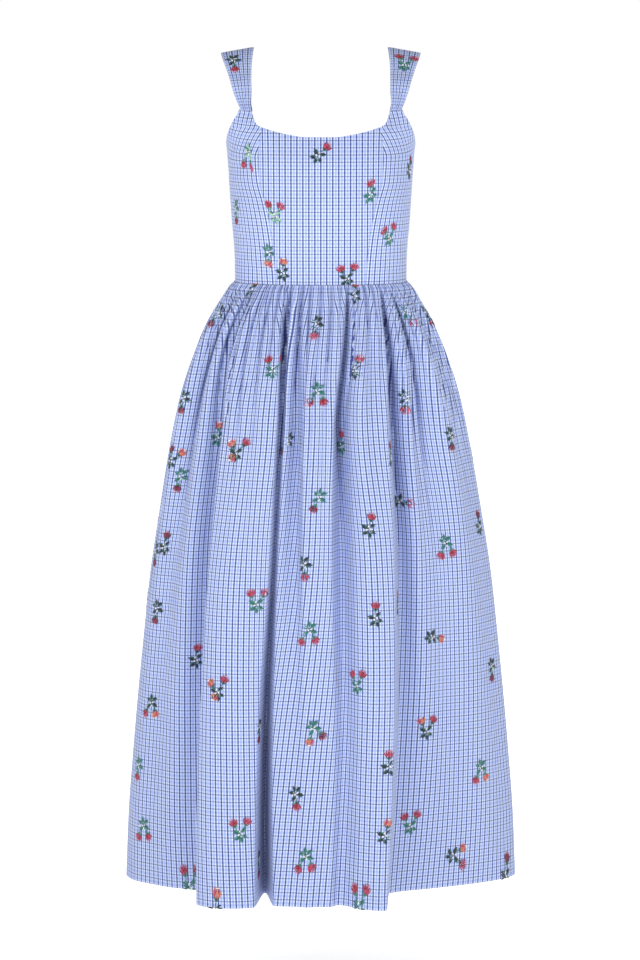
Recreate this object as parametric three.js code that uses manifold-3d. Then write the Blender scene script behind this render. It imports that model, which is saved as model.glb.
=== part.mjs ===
// Sleeveless midi dress with wide shoulder straps, a fitted bodice with shaped front seams and
// a full skirt gathered into the waist seam. Millimetres, +Z up, the front faces -Y.
// The origin lies on the shoulder line, midway between the straps, where the wearer carries the dress.

import * as THREE from "three";
import { mergeVertices } from "three/addons/utils/BufferGeometryUtils.js";
import Module from "manifold-3d";

// Heights of the seams and edges
const WAIST = -331;
const HEM = -1192;
const STRAP_JOIN = -88.8;

// Cloth and seams
const CLOTH = 1.4;
const STRAP_CLOTH = 1.8;
const SEAM_GAP = 0.3;

// Turn where the shaped front seam starts at the neckline, in degrees from the centre front
const SEAM_TOP_TURN = 35;
const SEAM_TOP_HEIGHT = -111;

// Straps: the top of each lies this far below the origin along its centre line
const STRAP_TOP_DROP = 4;
const STRAP_FRONT_REACH = 78.3;
const STRAP_BACK_REACH = 66;
const STRAP_ARCH = 1.8;
const STRAP_BACK_SHIFT = 3.4;
const STRAP_TILT = 10;
const STRAP_END_WAVES = 3;
const STRAP_END_WAVE_DEPTH = 0.7;
const STRAP_END_WAVE_LENGTH = 34;
const STRAP_MERGE_START = 0.55;

// Gathers under the waist seam, for each half of the skirt
const GATHERS = 22;
const GATHER_DRIFT = 0.011;
const GATHER_DRIFTS = 3;
const SEAM_FLAT = 14;
const ZIP_FLAT = 26;

// Short steps for measuring slopes: along a ring as a share of it, up or down, in turn, along the
// strap's way and in any direction
const SHARE_STEP = 0.0015;
const HEIGHT_STEP = 1.5;
const TURN_STEP = 0.001;
const WAY_STEP = 0.01;
const NUDGE = 0.5;

// Facets: how finely each panel is divided. RING_SAMPLES is even, so that one lies on the centre.
const SKIRT_COLUMNS = 96;
const RING_SAMPLES = 720;
const BODICE_ROWS = 7;
const CENTRE_COLUMNS = 12;
const EDGE_STEPS = 2;
const STRAP_ROWS = 18;
const STRAP_COLUMNS = 6;

// Zip
const ZIP_END = -455;
const ZIP_HALF_WIDTH = 9;
const ZIP_TAPE = 0.9;
const ZIP_TOP_DROP = 2;
const SLIDER_DROP = 9;
const SLIDER = { width: 5, length: 9, plate: 1.2, bridgeWidth: 1.6, bridgeLength: 8, bridge: 1.2 };
const PULL = { width: 5.6, length: 24, thick: 1, window: 6.4, arm: 1.3, room: 1.8, tip: 3.4, neck: 9 };

// Half sizes of the dress at each height: to the side, to the front, to the back, and how square
// the ring is (2 is an ellipse). Above the side seams only the front and back parts remain.
const RINGS = [
  { height: -1192, side: 282.5, front: 137, back: 150, square: 2 },
  { height: -1099, side: 278.5, front: 137, back: 149, square: 2 },
  { height: -1010, side: 271.5, front: 136, back: 147, square: 2 },
  { height: -922, side: 263.5, front: 135, back: 145, square: 2 },
  { height: -835, side: 254.5, front: 134, back: 143, square: 2 },
  { height: -747, side: 244.5, front: 133, back: 140, square: 2 },
  { height: -660, side: 230.5, front: 131, back: 137, square: 2 },
  { height: -574, side: 215.5, front: 129, back: 133, square: 2 },
  { height: -487, side: 195.5, front: 125, back: 127, square: 2.05 },
  { height: -444, side: 181, front: 122, back: 122, square: 2.1 },
  { height: -401, side: 163.5, front: 116, back: 114, square: 2.15 },
  { height: -358, side: 140.5, front: 104, back: 101, square: 2.25 },
  { height: -337, side: 127.5, front: 95.5, back: 91, square: 2.4 },
  { height: -331, side: 122, front: 92, back: 87, square: 2.45 },
  { height: -294, side: 122.5, front: 102, back: 90, square: 2.45 },
  { height: -252, side: 125.8, front: 118, back: 95, square: 2.45 },
  { height: -209, side: 128.6, front: 128, back: 98.5, square: 2.45 },
  { height: -167, side: 131.3, front: 127, back: 99, square: 2.5 },
  { height: -137, side: 134, front: 120.5, back: 97, square: 2.5 },
  { height: -111, side: 143, front: 109.5, back: 90, square: 2.5 },
  { height: -88.8, side: 152, front: 95, back: 81.5, square: 2.5 },
  { height: -60, side: 162, front: 78, back: 68, square: 2.5 },
];

// Shaped front seam: distance from the centre front at each height
const FRONT_SEAM = [
  { height: -331, across: 63 },
  { height: -290, across: 66 },
  { height: -250, across: 71 },
  { height: -215, across: 78 },
  { height: -184, across: 86 },
  { height: -150, across: 88 },
  { height: -128, across: 85.5 },
  { height: -111, across: 82 },
];

// Neckline of the centre front: height at each distance from the centre
const NECKLINE = [
  { across: 0, height: -124.4 },
  { across: 22, height: -124.2 },
  { across: 45, height: -120.8 },
  { across: 67, height: -115.9 },
  { across: 84, height: -110.3 },
];

// Top edge of the side front, from the shaped seam past the strap to the side seam
const SIDE_FRONT_TOP = [
  { turn: 35, height: -111 },
  { turn: 38, height: -107.5 },
  { turn: 39.2, height: -100 },
  { turn: 39.4, height: -88.8 },
  { turn: 46.9, height: -88.8 },
  { turn: 52.4, height: -96 },
  { turn: 57.8, height: -104 },
  { turn: 63.7, height: -113 },
  { turn: 71, height: -123 },
  { turn: 80, height: -132 },
  { turn: 90, height: -137 },
];

// Top edge of the back, from the centre back past the strap to the side seam
const BACK_TOP = [
  { turn: 0, height: -150 },
  { turn: 10, height: -149.7 },
  { turn: 20, height: -148 },
  { turn: 31, height: -141 },
  { turn: 38, height: -129 },
  { turn: 41, height: -116 },
  { turn: 41.6, height: -103 },
  { turn: 41.9, height: -88.8 },
  { turn: 49.1, height: -88.8 },
  { turn: 54, height: -98 },
  { turn: 59, height: -107 },
  { turn: 65, height: -116 },
  { turn: 72, height: -124.5 },
  { turn: 80.5, height: -132.5 },
  { turn: 90, height: -137 },
];

// Strap seen from the front: drop below the shoulder, centre line from the middle, half width
const STRAP = [
  { drop: 0, centre: 118.4, half: 24 },
  { drop: 12, centre: 117.2, half: 21.4 },
  { drop: 28, centre: 114.8, half: 17.6 },
  { drop: 45, centre: 112.2, half: 14.8 },
  { drop: 62, centre: 109.8, half: 12.6 },
  { drop: 72, centre: 108.4, half: 10.4 },
  { drop: 80, centre: 106.6, half: 8.5 },
  { drop: 88.8, centre: 103.75, half: 7.35 },
];

// Depth of the gathers at each height
const GATHER_DEPTH = [
  { height: -520, depth: 0 },
  { height: -455, depth: 0.6 },
  { height: -405, depth: 1.7 },
  { height: -365, depth: 2.5 },
  { height: -344, depth: 2.4 },
  { height: -331, depth: 1.5 },
];

// Heights at which the fold tables below give each fold
const FOLD_HEIGHTS = [-331, -400, -530, -700, -940, -1192];

// Folds of the front: turn from the centre front in degrees (+ to the wearer's left) and how far
// the line stands out from the ring, at the six heights. Ridges and troughs follow each other.
const FRONT_FOLDS = [
  { fold: "side seam right", turn: [-90, -90, -90, -90, -90, -90], out: [0, 0, 0, 0, 0, 0] },
  { fold: "soft side ridge", turn: [-74, -73, -72, -71, -70, -70], out: [0, 5, 7, 5, 3, 2] },
  { fold: "soft side trough", turn: [-64, -63, -61, -60, -60, -60], out: [0, -4, -5, -3, -1, 0] },
  { fold: "outer ridge", turn: [-55, -53, -51, -50, -49, -48], out: [0, 7, 11, 9, 6, 2] },
  { fold: "outer trough", turn: [-48, -47, -41.8, -40.2, -38.8, -37], out: [0, -10, -15, -16, -10, -4] },
  { fold: "broad fold edge", turn: [-44, -44, -39, -37.8, -36.7, -35.2], out: [0, 11, 33, 50, 68, 84] },
  { fold: "broad fold top", turn: [-36, -33, -31.5, -31, -30.5, -29.5], out: [0, 13, 38, 58, 79, 97] },
  { fold: "broad fold slope", turn: [-25, -20, -17.4, -17.5, -19.2, -19.2], out: [0, 11, 35, 53, 68, 84] },
  { fold: "deep trough", turn: [-20, -17.8, -15.7, -15.8, -16.8, -16.3], out: [0, -9, 8, 20, 6, -6] },
  { fold: "centre fold edge", turn: [-16, -15.4, -14, -14.3, -14.3, -13.3], out: [0, 8, 25, 42, 57, 71] },
  { fold: "short crease", turn: [-12, -10.6, -9, -8.6, -8, -7.5], out: [0, -7, 4, 28, 55, 72] },
  { fold: "narrow ridge", turn: [-7, -7.2, -6.4, -5.5, -4.5, -4], out: [0, 10, 29, 47, 62, 76] },
  { fold: "centre fold middle", turn: [3, 0.5, -1, -1, 0, 0], out: [0, 9, 28, 44, 61, 72] },
  { fold: "centre fold ridge", turn: [12, 9.5, 4.7, 3.2, 3.5, 2.5], out: [0, 8, 31, 43, 61, 73] },
  { fold: "slanting crease", turn: [17.5, 12.8, 6.4, 6.8, 7, 5], out: [0, -10, -4, 14, 46, 62] },
  { fold: "slanting edge", turn: [19.8, 15.6, 12, 12, 12, 11], out: [0, 7, 26, 44, 70, 86] },
  { fold: "centre fold top", turn: [22, 19, 15.5, 16.5, 16.8, 17], out: [0, 12, 35, 55, 81, 101] },
  { fold: "slot under the waist", turn: [27, 25, 21.5, 21, 19.8, 17.8], out: [0, 1, 29, 54, 82, 101.5] },
  { fold: "centre fold end", turn: [34, 31.4, 26.2, 24.6, 22, 18.6], out: [0, 12, 32, 53, 81, 100] },
  { fold: "long trough", turn: [42, 35.5, 29.4, 27.5, 24.7, 20.2], out: [0, -10, -14, -13, -7, -1] },
  { fold: "flat ridge", turn: [46, 40.5, 36, 34.5, 33, 31], out: [0, 8, 10, 7, 1, -14] },
  { fold: "fading trough", turn: [50, 47.5, 43.6, 43, 43, 43], out: [0, -7, -8, -2, -6, -17] },
  { fold: "wide side ridge", turn: [58, 57.5, 57, 57, 58, 58], out: [0, 6, 8, 4, -4, -15] },
  { fold: "short side trough", turn: [66, 68, 71, 72, 72, 72], out: [0, -6, -3, -3, -6, -9] },
  { fold: "side seam left", turn: [90, 90, 90, 90, 90, 90], out: [0, 0, 0, 0, 0, 0] },
];

// Folds of the back, the same way, with the turn from the centre back
const BACK_FOLDS = [
  { fold: "side seam right", turn: [-90, -90, -90, -90, -90, -90], out: [0, 0, 0, 0, 0, 0] },
  { fold: "side ridge", turn: [-72, -71, -69, -68, -67, -67], out: [0, 5, 8, 8, 6, 4] },
  { fold: "side trough", turn: [-61, -60, -58, -57, -56, -55], out: [0, -5, -8, -8, -8, -6] },
  { fold: "wide fold edge", turn: [-53, -51.5, -50, -49, -47.5, -46], out: [0, 8, 19, 30, 42, 54] },
  { fold: "wide fold top", turn: [-43, -42, -40.5, -39.5, -39, -38], out: [0, 10, 26, 40, 56, 70] },
  { fold: "wide fold slope", turn: [-33, -32.5, -32, -31, -30, -29.5], out: [0, 6, 18, 28, 40, 52] },
  { fold: "right trough", turn: [-23, -23.5, -23.5, -23, -22, -21], out: [0, -9, -13, -15, -12, -8] },
  { fold: "middle fold edge", turn: [-16, -17, -18, -18, -17, -16.5], out: [0, 8, 17, 27, 38, 50] },
  { fold: "middle fold top", turn: [-8, -8.5, -9, -9.5, -9, -8.5], out: [0, 7, 20, 32, 46, 60] },
  { fold: "centre back seam", turn: [0, 0, 0, 0, 0, 0], out: [0, 5, 12, 19, 31, 42] },
  { fold: "seam fold", turn: [8.5, 9, 8.5, 8, 8.5, 9], out: [0, 7, 19, 31, 44, 57] },
  { fold: "left trough", turn: [19, 18, 17, 16.5, 17, 18], out: [0, -9, -14, -16, -14, -10] },
  { fold: "next fold edge", turn: [24.5, 23.5, 22.5, 22, 22.5, 23], out: [0, 8, 20, 33, 47, 60] },
  { fold: "next fold top", turn: [34, 33, 32, 31.5, 32, 32.5], out: [0, 11, 27, 43, 60, 75] },
  { fold: "next fold end", turn: [44, 43, 42, 41.5, 41, 41], out: [0, 7, 17, 28, 40, 50] },
  { fold: "outer trough", turn: [51, 50, 49, 48.5, 48, 47], out: [0, -8, -11, -11, -9, -6] },
  { fold: "outer fold", turn: [61, 60.5, 60, 59.5, 59, 58], out: [0, 6, 12, 15, 17, 18] },
  { fold: "side dip", turn: [73, 73, 73, 73, 73, 73], out: [0, -4, -4, -3, -2, -1] },
  { fold: "side seam left", turn: [90, 90, 90, 90, 90, 90], out: [0, 0, 0, 0, 0, 0] },
];

// Rows of the skirt panels, close together under the waist where the cloth bends most
const SKIRT_ROWS = [-331, -339, -352, -374, -408, -455, -535, -640, -770, -910, -1050, -1192];

// Finishes
const checkedCotton = new THREE.MeshStandardMaterial({ color: 0xb4c3e8, roughness: 0.82, metalness: 0 });
const zipTapeCotton = new THREE.MeshStandardMaterial({ color: 0x9fb0dc, roughness: 0.85, metalness: 0 });
const paintedZinc = new THREE.MeshStandardMaterial({ color: 0xa9b6dc, roughness: 0.4, metalness: 0.6 });

const radians = THREE.MathUtils.degToRad;

// A smooth curve through the given values that never swings past them
function curveThrough(places, values, flatEnds = false) {
  const last = places.length - 1;
  const step = places.slice(1).map((place, i) => place - places[i]);
  const rise = step.map((width, i) => (values[i + 1] - values[i]) / width);
  const slope = values.map((_, i) => {
    if (i === 0) return flatEnds ? 0 : rise[0];
    if (i === last) return flatEnds ? 0 : rise[last - 1];
    if (rise[i - 1] * rise[i] <= 0) return 0;
    const before = 2 * step[i] + step[i - 1];
    const after = step[i] + 2 * step[i - 1];
    return (before + after) / (before / rise[i - 1] + after / rise[i]);
  });
  return (place) => {
    const at = THREE.MathUtils.clamp(place, places[0], places[last]);
    let i = 0;
    while (i < last - 1 && at > places[i + 1]) i += 1;
    const t = (at - places[i]) / step[i];
    const rest = 1 - t;
    return (1 + 2 * t) * rest * rest * values[i] + t * rest * rest * step[i] * slope[i]
      + t * t * (3 - 2 * t) * values[i + 1] - t * t * rest * step[i] * slope[i + 1];
  };
}

// The curve of one column of a table against another
function columnCurve(table, place, value) {
  return curveThrough(table.map((row) => row[place]), table.map((row) => row[value]));
}

const sideAt = columnCurve(RINGS, "height", "side");
const depthAt = {
  front: columnCurve(RINGS, "height", "front"),
  back: columnCurve(RINGS, "height", "back"),
};
const squareAt = columnCurve(RINGS, "height", "square");
const seamAcrossAt = columnCurve(FRONT_SEAM, "height", "across");
const necklineAt = columnCurve(NECKLINE, "across", "height");
const gatherDepthAt = columnCurve(GATHER_DEPTH, "height", "depth");
const strapCentreAt = columnCurve(STRAP, "drop", "centre");
const strapHalfAt = columnCurve(STRAP, "drop", "half");

const facing = { front: -1, back: 1 };

// Point of the plain ring at a turn (radians from the centre of that half) and a height
function ringPoint(half, turn, height) {
  const share = Math.min(Math.abs(Math.sin(turn)), 1);
  const square = squareAt(height);
  const depth = depthAt[half](height) * (1 - share ** square) ** (1 / square);
  return new THREE.Vector3(sideAt(height) * Math.sin(turn), facing[half] * depth, height);
}

// Outward normal of the plain ring's surface at a point of it
function ringNormal(half, point) {
  const inside = (x, y, z) => {
    const square = squareAt(z);
    return Math.abs(x / sideAt(z)) ** square + Math.abs(y / depthAt[half](z)) ** square;
  };
  const slope = (dx, dy, dz) => inside(point.x + dx, point.y + dy, point.z + dz)
    - inside(point.x - dx, point.y - dy, point.z - dz);
  return new THREE.Vector3(slope(NUDGE, 0, 0), slope(0, NUDGE, 0), slope(0, 0, NUDGE)).normalize();
}

// A closed wall of cloth: rows of outer points with their normals, and the same rows moved inwards
function clothWall(rows, thickness) {
  const rowCount = rows.length;
  const columnCount = rows[0].length;
  const flat = rows.flat();
  const outer = flat.map(({ point }) => point);
  const inner = flat.map(({ point, normal }) => point.clone().addScaledVector(normal, -thickness));
  const at = (row, column, side) => side * flat.length + row * columnCount + column;
  const index = [];
  const quad = (a, b, c, d) => index.push(a, b, c, a, c, d);
  for (let r = 0; r < rowCount - 1; r += 1) {
    for (let c = 0; c < columnCount - 1; c += 1) {
      quad(at(r, c, 0), at(r, c + 1, 0), at(r + 1, c + 1, 0), at(r + 1, c, 0));
      quad(at(r, c, 1), at(r + 1, c, 1), at(r + 1, c + 1, 1), at(r, c + 1, 1));
    }
  }
  for (let c = 0; c < columnCount - 1; c += 1) {
    const bottom = rowCount - 1;
    quad(at(0, c, 0), at(0, c, 1), at(0, c + 1, 1), at(0, c + 1, 0));
    quad(at(bottom, c, 0), at(bottom, c + 1, 0), at(bottom, c + 1, 1), at(bottom, c, 1));
  }
  for (let r = 0; r < rowCount - 1; r += 1) {
    const end = columnCount - 1;
    quad(at(r, 0, 0), at(r + 1, 0, 0), at(r + 1, 0, 1), at(r, 0, 1));
    quad(at(r, end, 0), at(r, end, 1), at(r + 1, end, 1), at(r + 1, end, 0));
  }
  const positions = [...outer, ...inner].flatMap((p) => [p.x, p.y, p.z]);
  const geometry = new THREE.BufferGeometry();
  geometry.setAttribute("position", new THREE.Float32BufferAttribute(positions, 3));
  geometry.setIndex(volumeOf(positions, index) < 0 ? index.reverse() : index);
  geometry.computeVertexNormals();
  return geometry;
}

// Signed volume of a closed mesh: negative when its faces point inwards
function volumeOf(positions, index) {
  const corner = (i) => new THREE.Vector3().fromArray(positions, 3 * i);
  let volume = 0;
  for (let i = 0; i < index.length; i += 3) {
    volume += corner(index[i]).dot(corner(index[i + 1]).cross(corner(index[i + 2])));
  }
  return volume;
}

function mesh(name, geometry, material) {
  const piece = new THREE.Mesh(geometry, material);
  piece.name = name;
  return piece;
}

// The wearer's right side is at -X, the left at +X
const sides = { right: -1, left: 1 };

// Turn that lies half a seam gap from a seam at the given turn, on a bodice ring
function besideSeam(half, turn, height, towards) {
  const here = ringPoint(half, turn, height);
  const near = ringPoint(half, turn + towards * TURN_STEP, height);
  return turn + (towards * TURN_STEP * SEAM_GAP) / 2 / here.distanceTo(near);
}

// Turn of the shaped front seam at a height
function frontSeamTurn(height) {
  if (height > SEAM_TOP_HEIGHT) return radians(SEAM_TOP_TURN);
  return Math.asin(seamAcrossAt(height) / sideAt(height));
}

function bodicePoint(half, turn, height) {
  const point = ringPoint(half, turn, height);
  return { point, normal: ringNormal(half, point) };
}

// Centre front of the bodice, from the waist seam up to the neckline, between the shaped seams
function bodiceCentreFront() {
  const rows = [];
  for (let r = 0; r <= BODICE_ROWS; r += 1) {
    const row = [];
    for (let c = 0; c <= CENTRE_COLUMNS; c += 1) {
      const across = (2 * c) / CENTRE_COLUMNS - 1;
      let top = necklineAt(0);
      for (let pass = 0; pass < 5; pass += 1) {
        top = necklineAt(sideAt(top) * Math.sin(frontSeamTurn(top) * Math.abs(across)));
      }
      const height = THREE.MathUtils.lerp(WAIST + SEAM_GAP / 2, top, r / BODICE_ROWS);
      const edge = besideSeam("front", frontSeamTurn(height), height, -1);
      row.push(bodicePoint("front", across * edge, height));
    }
    rows.push(row);
  }
  return mesh("bodice_centre_front", clothWall(rows, CLOTH), checkedCotton);
}

// A bodice panel that fans from its waist edge to a top edge with corners, between an inner seam
// and the side seam
function fannedPanel(name, half, side, topEdge, innerSeamTurn) {
  const steps = (topEdge.length - 1) * EDGE_STEPS;
  const rows = [];
  for (let r = 0; r <= BODICE_ROWS; r += 1) {
    const up = r / BODICE_ROWS;
    const row = [];
    for (let c = 0; c <= steps; c += 1) {
      const first = topEdge[Math.min(Math.floor(c / EDGE_STEPS), topEdge.length - 2)];
      const second = topEdge[topEdge.indexOf(first) + 1];
      const between = c / EDGE_STEPS - topEdge.indexOf(first);
      const topTurn = THREE.MathUtils.lerp(first.turn, second.turn, between);
      const topHeight = THREE.MathUtils.lerp(first.height, second.height, between);
      const drop = topHeight === STRAP_JOIN ? SEAM_GAP / 2 : 0;
      const height = THREE.MathUtils.lerp(WAIST + SEAM_GAP / 2, topHeight - drop, up);
      const topStart = topEdge[0].turn;
      const topShare = (topTurn - topStart) / (90 - topStart);
      const share = THREE.MathUtils.lerp(c / steps, topShare, up);
      const start = besideSeam(half, innerSeamTurn(height), height, 1);
      const end = besideSeam(half, radians(90), height, -1);
      const turn = THREE.MathUtils.lerp(start, end, share);
      row.push(bodicePoint(half, side * turn, height));
    }
    rows.push(row);
  }
  return mesh(name, clothWall(rows, CLOTH), checkedCotton);
}

// Side view of the strap: how far forward or back, and how far down, its centre line runs.
// The way goes from -1 at the front join over 0 on the shoulder to 1 at the back join.
function strapPlace(way) {
  const reach = way < 0 ? STRAP_FRONT_REACH : STRAP_BACK_REACH;
  const joinDrop = -STRAP_JOIN - SEAM_GAP / 2;
  const drop = THREE.MathUtils.lerp(STRAP_TOP_DROP, joinDrop, Math.abs(way) ** STRAP_ARCH);
  return { y: way * reach, drop };
}

// Strap over one shoulder: wide on top, gathered to a narrow end front and back
function strap(name, side) {
  const edgePoint = (way, across) => {
    const { y, drop } = strapPlace(way);
    const half = way < 0 ? "front" : "back";
    const shift = way > 0 ? STRAP_BACK_SHIFT * way : 0;
    const x = strapCentreAt(drop) + shift + across * strapHalfAt(drop);
    const joined = THREE.MathUtils.smoothstep(Math.abs(way), STRAP_MERGE_START, 1);
    const onBodice = ringPoint(half, Math.asin(x / sideAt(-drop)), -drop);
    const tilt = -across * strapHalfAt(drop) * Math.tan(radians(STRAP_TILT)) * (1 - joined);
    const pinched = THREE.MathUtils.smoothstep(drop, -STRAP_JOIN - STRAP_END_WAVE_LENGTH, -STRAP_JOIN);
    const wave = Math.cos(across * Math.PI * STRAP_END_WAVES) * STRAP_END_WAVE_DEPTH * pinched;
    const depth = THREE.MathUtils.lerp(y, onBodice.y, joined) + Math.sign(way) * wave;
    return new THREE.Vector3(side * x, depth, -drop + tilt);
  };
  const rows = [];
  for (let r = 0; r <= STRAP_ROWS; r += 1) {
    const way = (2 * r) / STRAP_ROWS - 1;
    const row = [];
    for (let c = 0; c <= STRAP_COLUMNS; c += 1) {
      const across = (2 * c) / STRAP_COLUMNS - 1;
      const point = edgePoint(way, across);
      const wayBefore = Math.max(way - WAY_STEP, -1);
      const wayAfter = Math.min(way + WAY_STEP, 1);
      const along = edgePoint(wayAfter, across).sub(edgePoint(wayBefore, across));
      const sideways = edgePoint(way, across + WAY_STEP).sub(edgePoint(way, across - WAY_STEP));
      const normal = sideways.cross(along).normalize().multiplyScalar(side);
      row.push({ point, normal });
    }
    rows.push(row);
  }
  return mesh(name, clothWall(rows, STRAP_CLOTH), checkedCotton);
}

// How far the folds stand out from the ring at one height, as a curve over the turn in degrees
function foldsAt(folds, height) {
  const flipped = FOLD_HEIGHTS.map((value) => -value);
  const turns = folds.map((row) => curveThrough(flipped, row.turn)(-height));
  const outs = folds.map((row) => curveThrough(flipped, row.out)(-height));
  return curveThrough(turns, outs, true);
}

// One half of the skirt's ring at a height, as a curve over the share of its length, 0 to 1 from
// the wearer's right side seam to the left one
function skirtRing(half, height) {
  const outAt = foldsAt(half === "front" ? FRONT_FOLDS : BACK_FOLDS, height);
  const points = [];
  const lengths = [0];
  for (let i = 0; i <= RING_SAMPLES; i += 1) {
    const degrees = -90 + (180 * i) / RING_SAMPLES;
    const turn = radians(degrees);
    const sine = Math.sin(turn);
    const lean = new THREE.Vector2(sine * Math.abs(sine) ** 3, facing[half] * Math.cos(turn)).normalize();
    const plain = ringPoint(half, turn, height);
    const out = outAt(degrees);
    points.push(new THREE.Vector3(plain.x + lean.x * out, plain.y + lean.y * out, height));
    if (i > 0) lengths.push(lengths[i - 1] + points[i].distanceTo(points[i - 1]));
  }
  const total = lengths[RING_SAMPLES];
  const centreShare = lengths[RING_SAMPLES / 2] / total;
  const gatherDepth = gatherDepthAt(height);
  const placeAt = (share) => {
    const wanted = THREE.MathUtils.clamp(share, 0, 1) * total;
    let low = 0;
    let high = RING_SAMPLES;
    while (high - low > 1) {
      const middle = (low + high) >> 1;
      if (lengths[middle] <= wanted) low = middle;
      else high = middle;
    }
    return points[low].clone().lerp(points[high], (wanted - lengths[low]) / (lengths[high] - lengths[low]));
  };
  const plainNormal = (share) => {
    const along = placeAt(share + SHARE_STEP).sub(placeAt(share - SHARE_STEP)).normalize();
    return new THREE.Vector3(-facing[half] * along.y, facing[half] * along.x, 0);
  };
  return {
    total,
    at(share) {
      const point = placeAt(share);
      const drift = GATHER_DRIFT * Math.sin(2 * Math.PI * GATHER_DRIFTS * share + 1);
      const phase = GATHERS * (share + drift);
      const fromSeam = Math.min(share, 1 - share) * total;
      const fromZip = half === "back" ? Math.abs(share - centreShare) * total : total;
      const calm = THREE.MathUtils.smoothstep(fromSeam, 0, SEAM_FLAT)
        * THREE.MathUtils.smoothstep(fromZip, ZIP_FLAT / 2, ZIP_FLAT);
      return point.addScaledVector(plainNormal(share), gatherDepth * calm * Math.cos(2 * Math.PI * phase));
    },
    centreShare,
  };
}

// A skirt panel between two shares of its half ring, gathered into the waist seam
function skirtPanel(name, half, shareFrom, shareTo, columns) {
  const rows = SKIRT_ROWS.map((level, r) => {
    const height = r === 0 ? level - SEAM_GAP / 2 : level;
    const here = skirtRing(half, height);
    const above = skirtRing(half, Math.min(height + HEIGHT_STEP, WAIST));
    const below = skirtRing(half, Math.max(height - HEIGHT_STEP, HEM));
    const from = shareFrom(here) + SEAM_GAP / 2 / here.total;
    const to = shareTo(here) - SEAM_GAP / 2 / here.total;
    const row = [];
    for (let c = 0; c <= columns; c += 1) {
      const share = THREE.MathUtils.lerp(from, to, c / columns);
      const point = here.at(share);
      const along = here.at(Math.min(share + SHARE_STEP, 1)).sub(here.at(Math.max(share - SHARE_STEP, 0)));
      const up = above.at(share).sub(below.at(share));
      const normal = along.cross(up).normalize().multiplyScalar(-facing[half]);
      row.push({ point, normal });
    }
    return row;
  });
  return mesh(name, clothWall(rows, CLOTH), checkedCotton);
}

// Tape and coil of the concealed zip, a narrow strip behind the centre back seam
function zipTape() {
  const inset = CLOTH + SEAM_GAP;
  const heights = [BACK_TOP[0].height - ZIP_TOP_DROP];
  for (let r = BODICE_ROWS - 1; r > 0; r -= 1) {
    heights.push(THREE.MathUtils.lerp(WAIST, BACK_TOP[0].height, r / BODICE_ROWS));
  }
  heights.push(...SKIRT_ROWS.filter((height) => height > ZIP_END), ZIP_END);
  const rows = heights.map((height) => {
    const row = [];
    for (const across of [-1, -0.5, 0, 0.5, 1]) {
      const turn = Math.asin((across * ZIP_HALF_WIDTH) / sideAt(height));
      const point = ringPoint("back", turn, height);
      const normal = ringNormal("back", point);
      if (height < WAIST) point.y += foldsAt(BACK_FOLDS, height)(THREE.MathUtils.radToDeg(turn));
      row.push({ point: point.addScaledVector(normal, -inset), normal });
    }
    return row;
  });
  return mesh("zip_tape", clothWall(rows, ZIP_TAPE), zipTapeCotton);
}

const sliderHeight = BACK_TOP[0].height - SLIDER_DROP;
const sliderFace = depthAt.back(sliderHeight) + SEAM_GAP;
const pullAxis = sliderFace + SLIDER.plate + PULL.room / 2;

// Slider: a plate on the seam with a bridge that holds the pull tab
async function zipSlider() {
  const wasm = await Module();
  wasm.setup();
  const solid = (geometry) => {
    geometry.deleteAttribute("normal");
    geometry.deleteAttribute("uv");
    const merged = mergeVertices(geometry, 1e-4);
    return new wasm.Manifold(new wasm.Mesh({
      numProp: 3,
      vertProperties: Float32Array.from(merged.attributes.position.array),
      triVerts: Uint32Array.from(merged.index.array),
    }));
  };
  const box = (width, depth, length, y) => new THREE.BoxGeometry(width, depth, length).translate(0, y, 0);
  const plate = solid(box(SLIDER.width, SLIDER.plate, SLIDER.length, SLIDER.plate / 2));
  const bridgeDepth = SLIDER.plate + PULL.room + SLIDER.bridge;
  const bridge = solid(box(SLIDER.bridgeWidth, bridgeDepth, SLIDER.bridgeLength, bridgeDepth / 2));
  const hole = solid(box(
    2 * SLIDER.bridgeWidth, PULL.room, SLIDER.bridgeLength - 2 * SLIDER.bridge, SLIDER.plate + PULL.room / 2,
  ));
  const joined = plate.add(bridge.subtract(hole)).getMesh();
  const geometry = new THREE.BufferGeometry();
  geometry.setAttribute("position", new THREE.Float32BufferAttribute(joined.vertProperties, 3));
  geometry.setIndex(Array.from(joined.triVerts));
  geometry.computeVertexNormals();
  const slider = mesh("zip_slider", geometry, paintedZinc);
  slider.position.set(0, sliderFace, sliderHeight);
  return slider;
}

// Pull tab: its top bar passes under the slider's bridge, its window lets the bridge through
function zipPull() {
  const bar = PULL.thick / 2;
  const halfWidth = PULL.width / 2;
  const outline = new THREE.Shape();
  outline.moveTo(-halfWidth, bar);
  outline.lineTo(-halfWidth, -PULL.neck);
  outline.absarc(0, -PULL.length + PULL.tip, PULL.tip, Math.PI, 2 * Math.PI, false);
  outline.lineTo(halfWidth, -PULL.neck);
  outline.lineTo(halfWidth, bar);
  const windowHalf = halfWidth - PULL.arm;
  const window = new THREE.Path();
  window.moveTo(-windowHalf, -bar);
  window.lineTo(windowHalf, -bar);
  window.lineTo(windowHalf, -PULL.window);
  window.lineTo(-windowHalf, -PULL.window);
  outline.holes.push(window);
  const flat = { depth: PULL.thick, bevelEnabled: false, curveSegments: 8 };
  const geometry = new THREE.ExtrudeGeometry(outline, flat);
  geometry.translate(0, 0, -PULL.thick / 2);
  geometry.rotateX(Math.PI / 2);
  const pull = mesh("zip_pull", geometry, paintedZinc);
  pull.position.set(0, pullAxis, sliderHeight);
  return pull;
}

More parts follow.
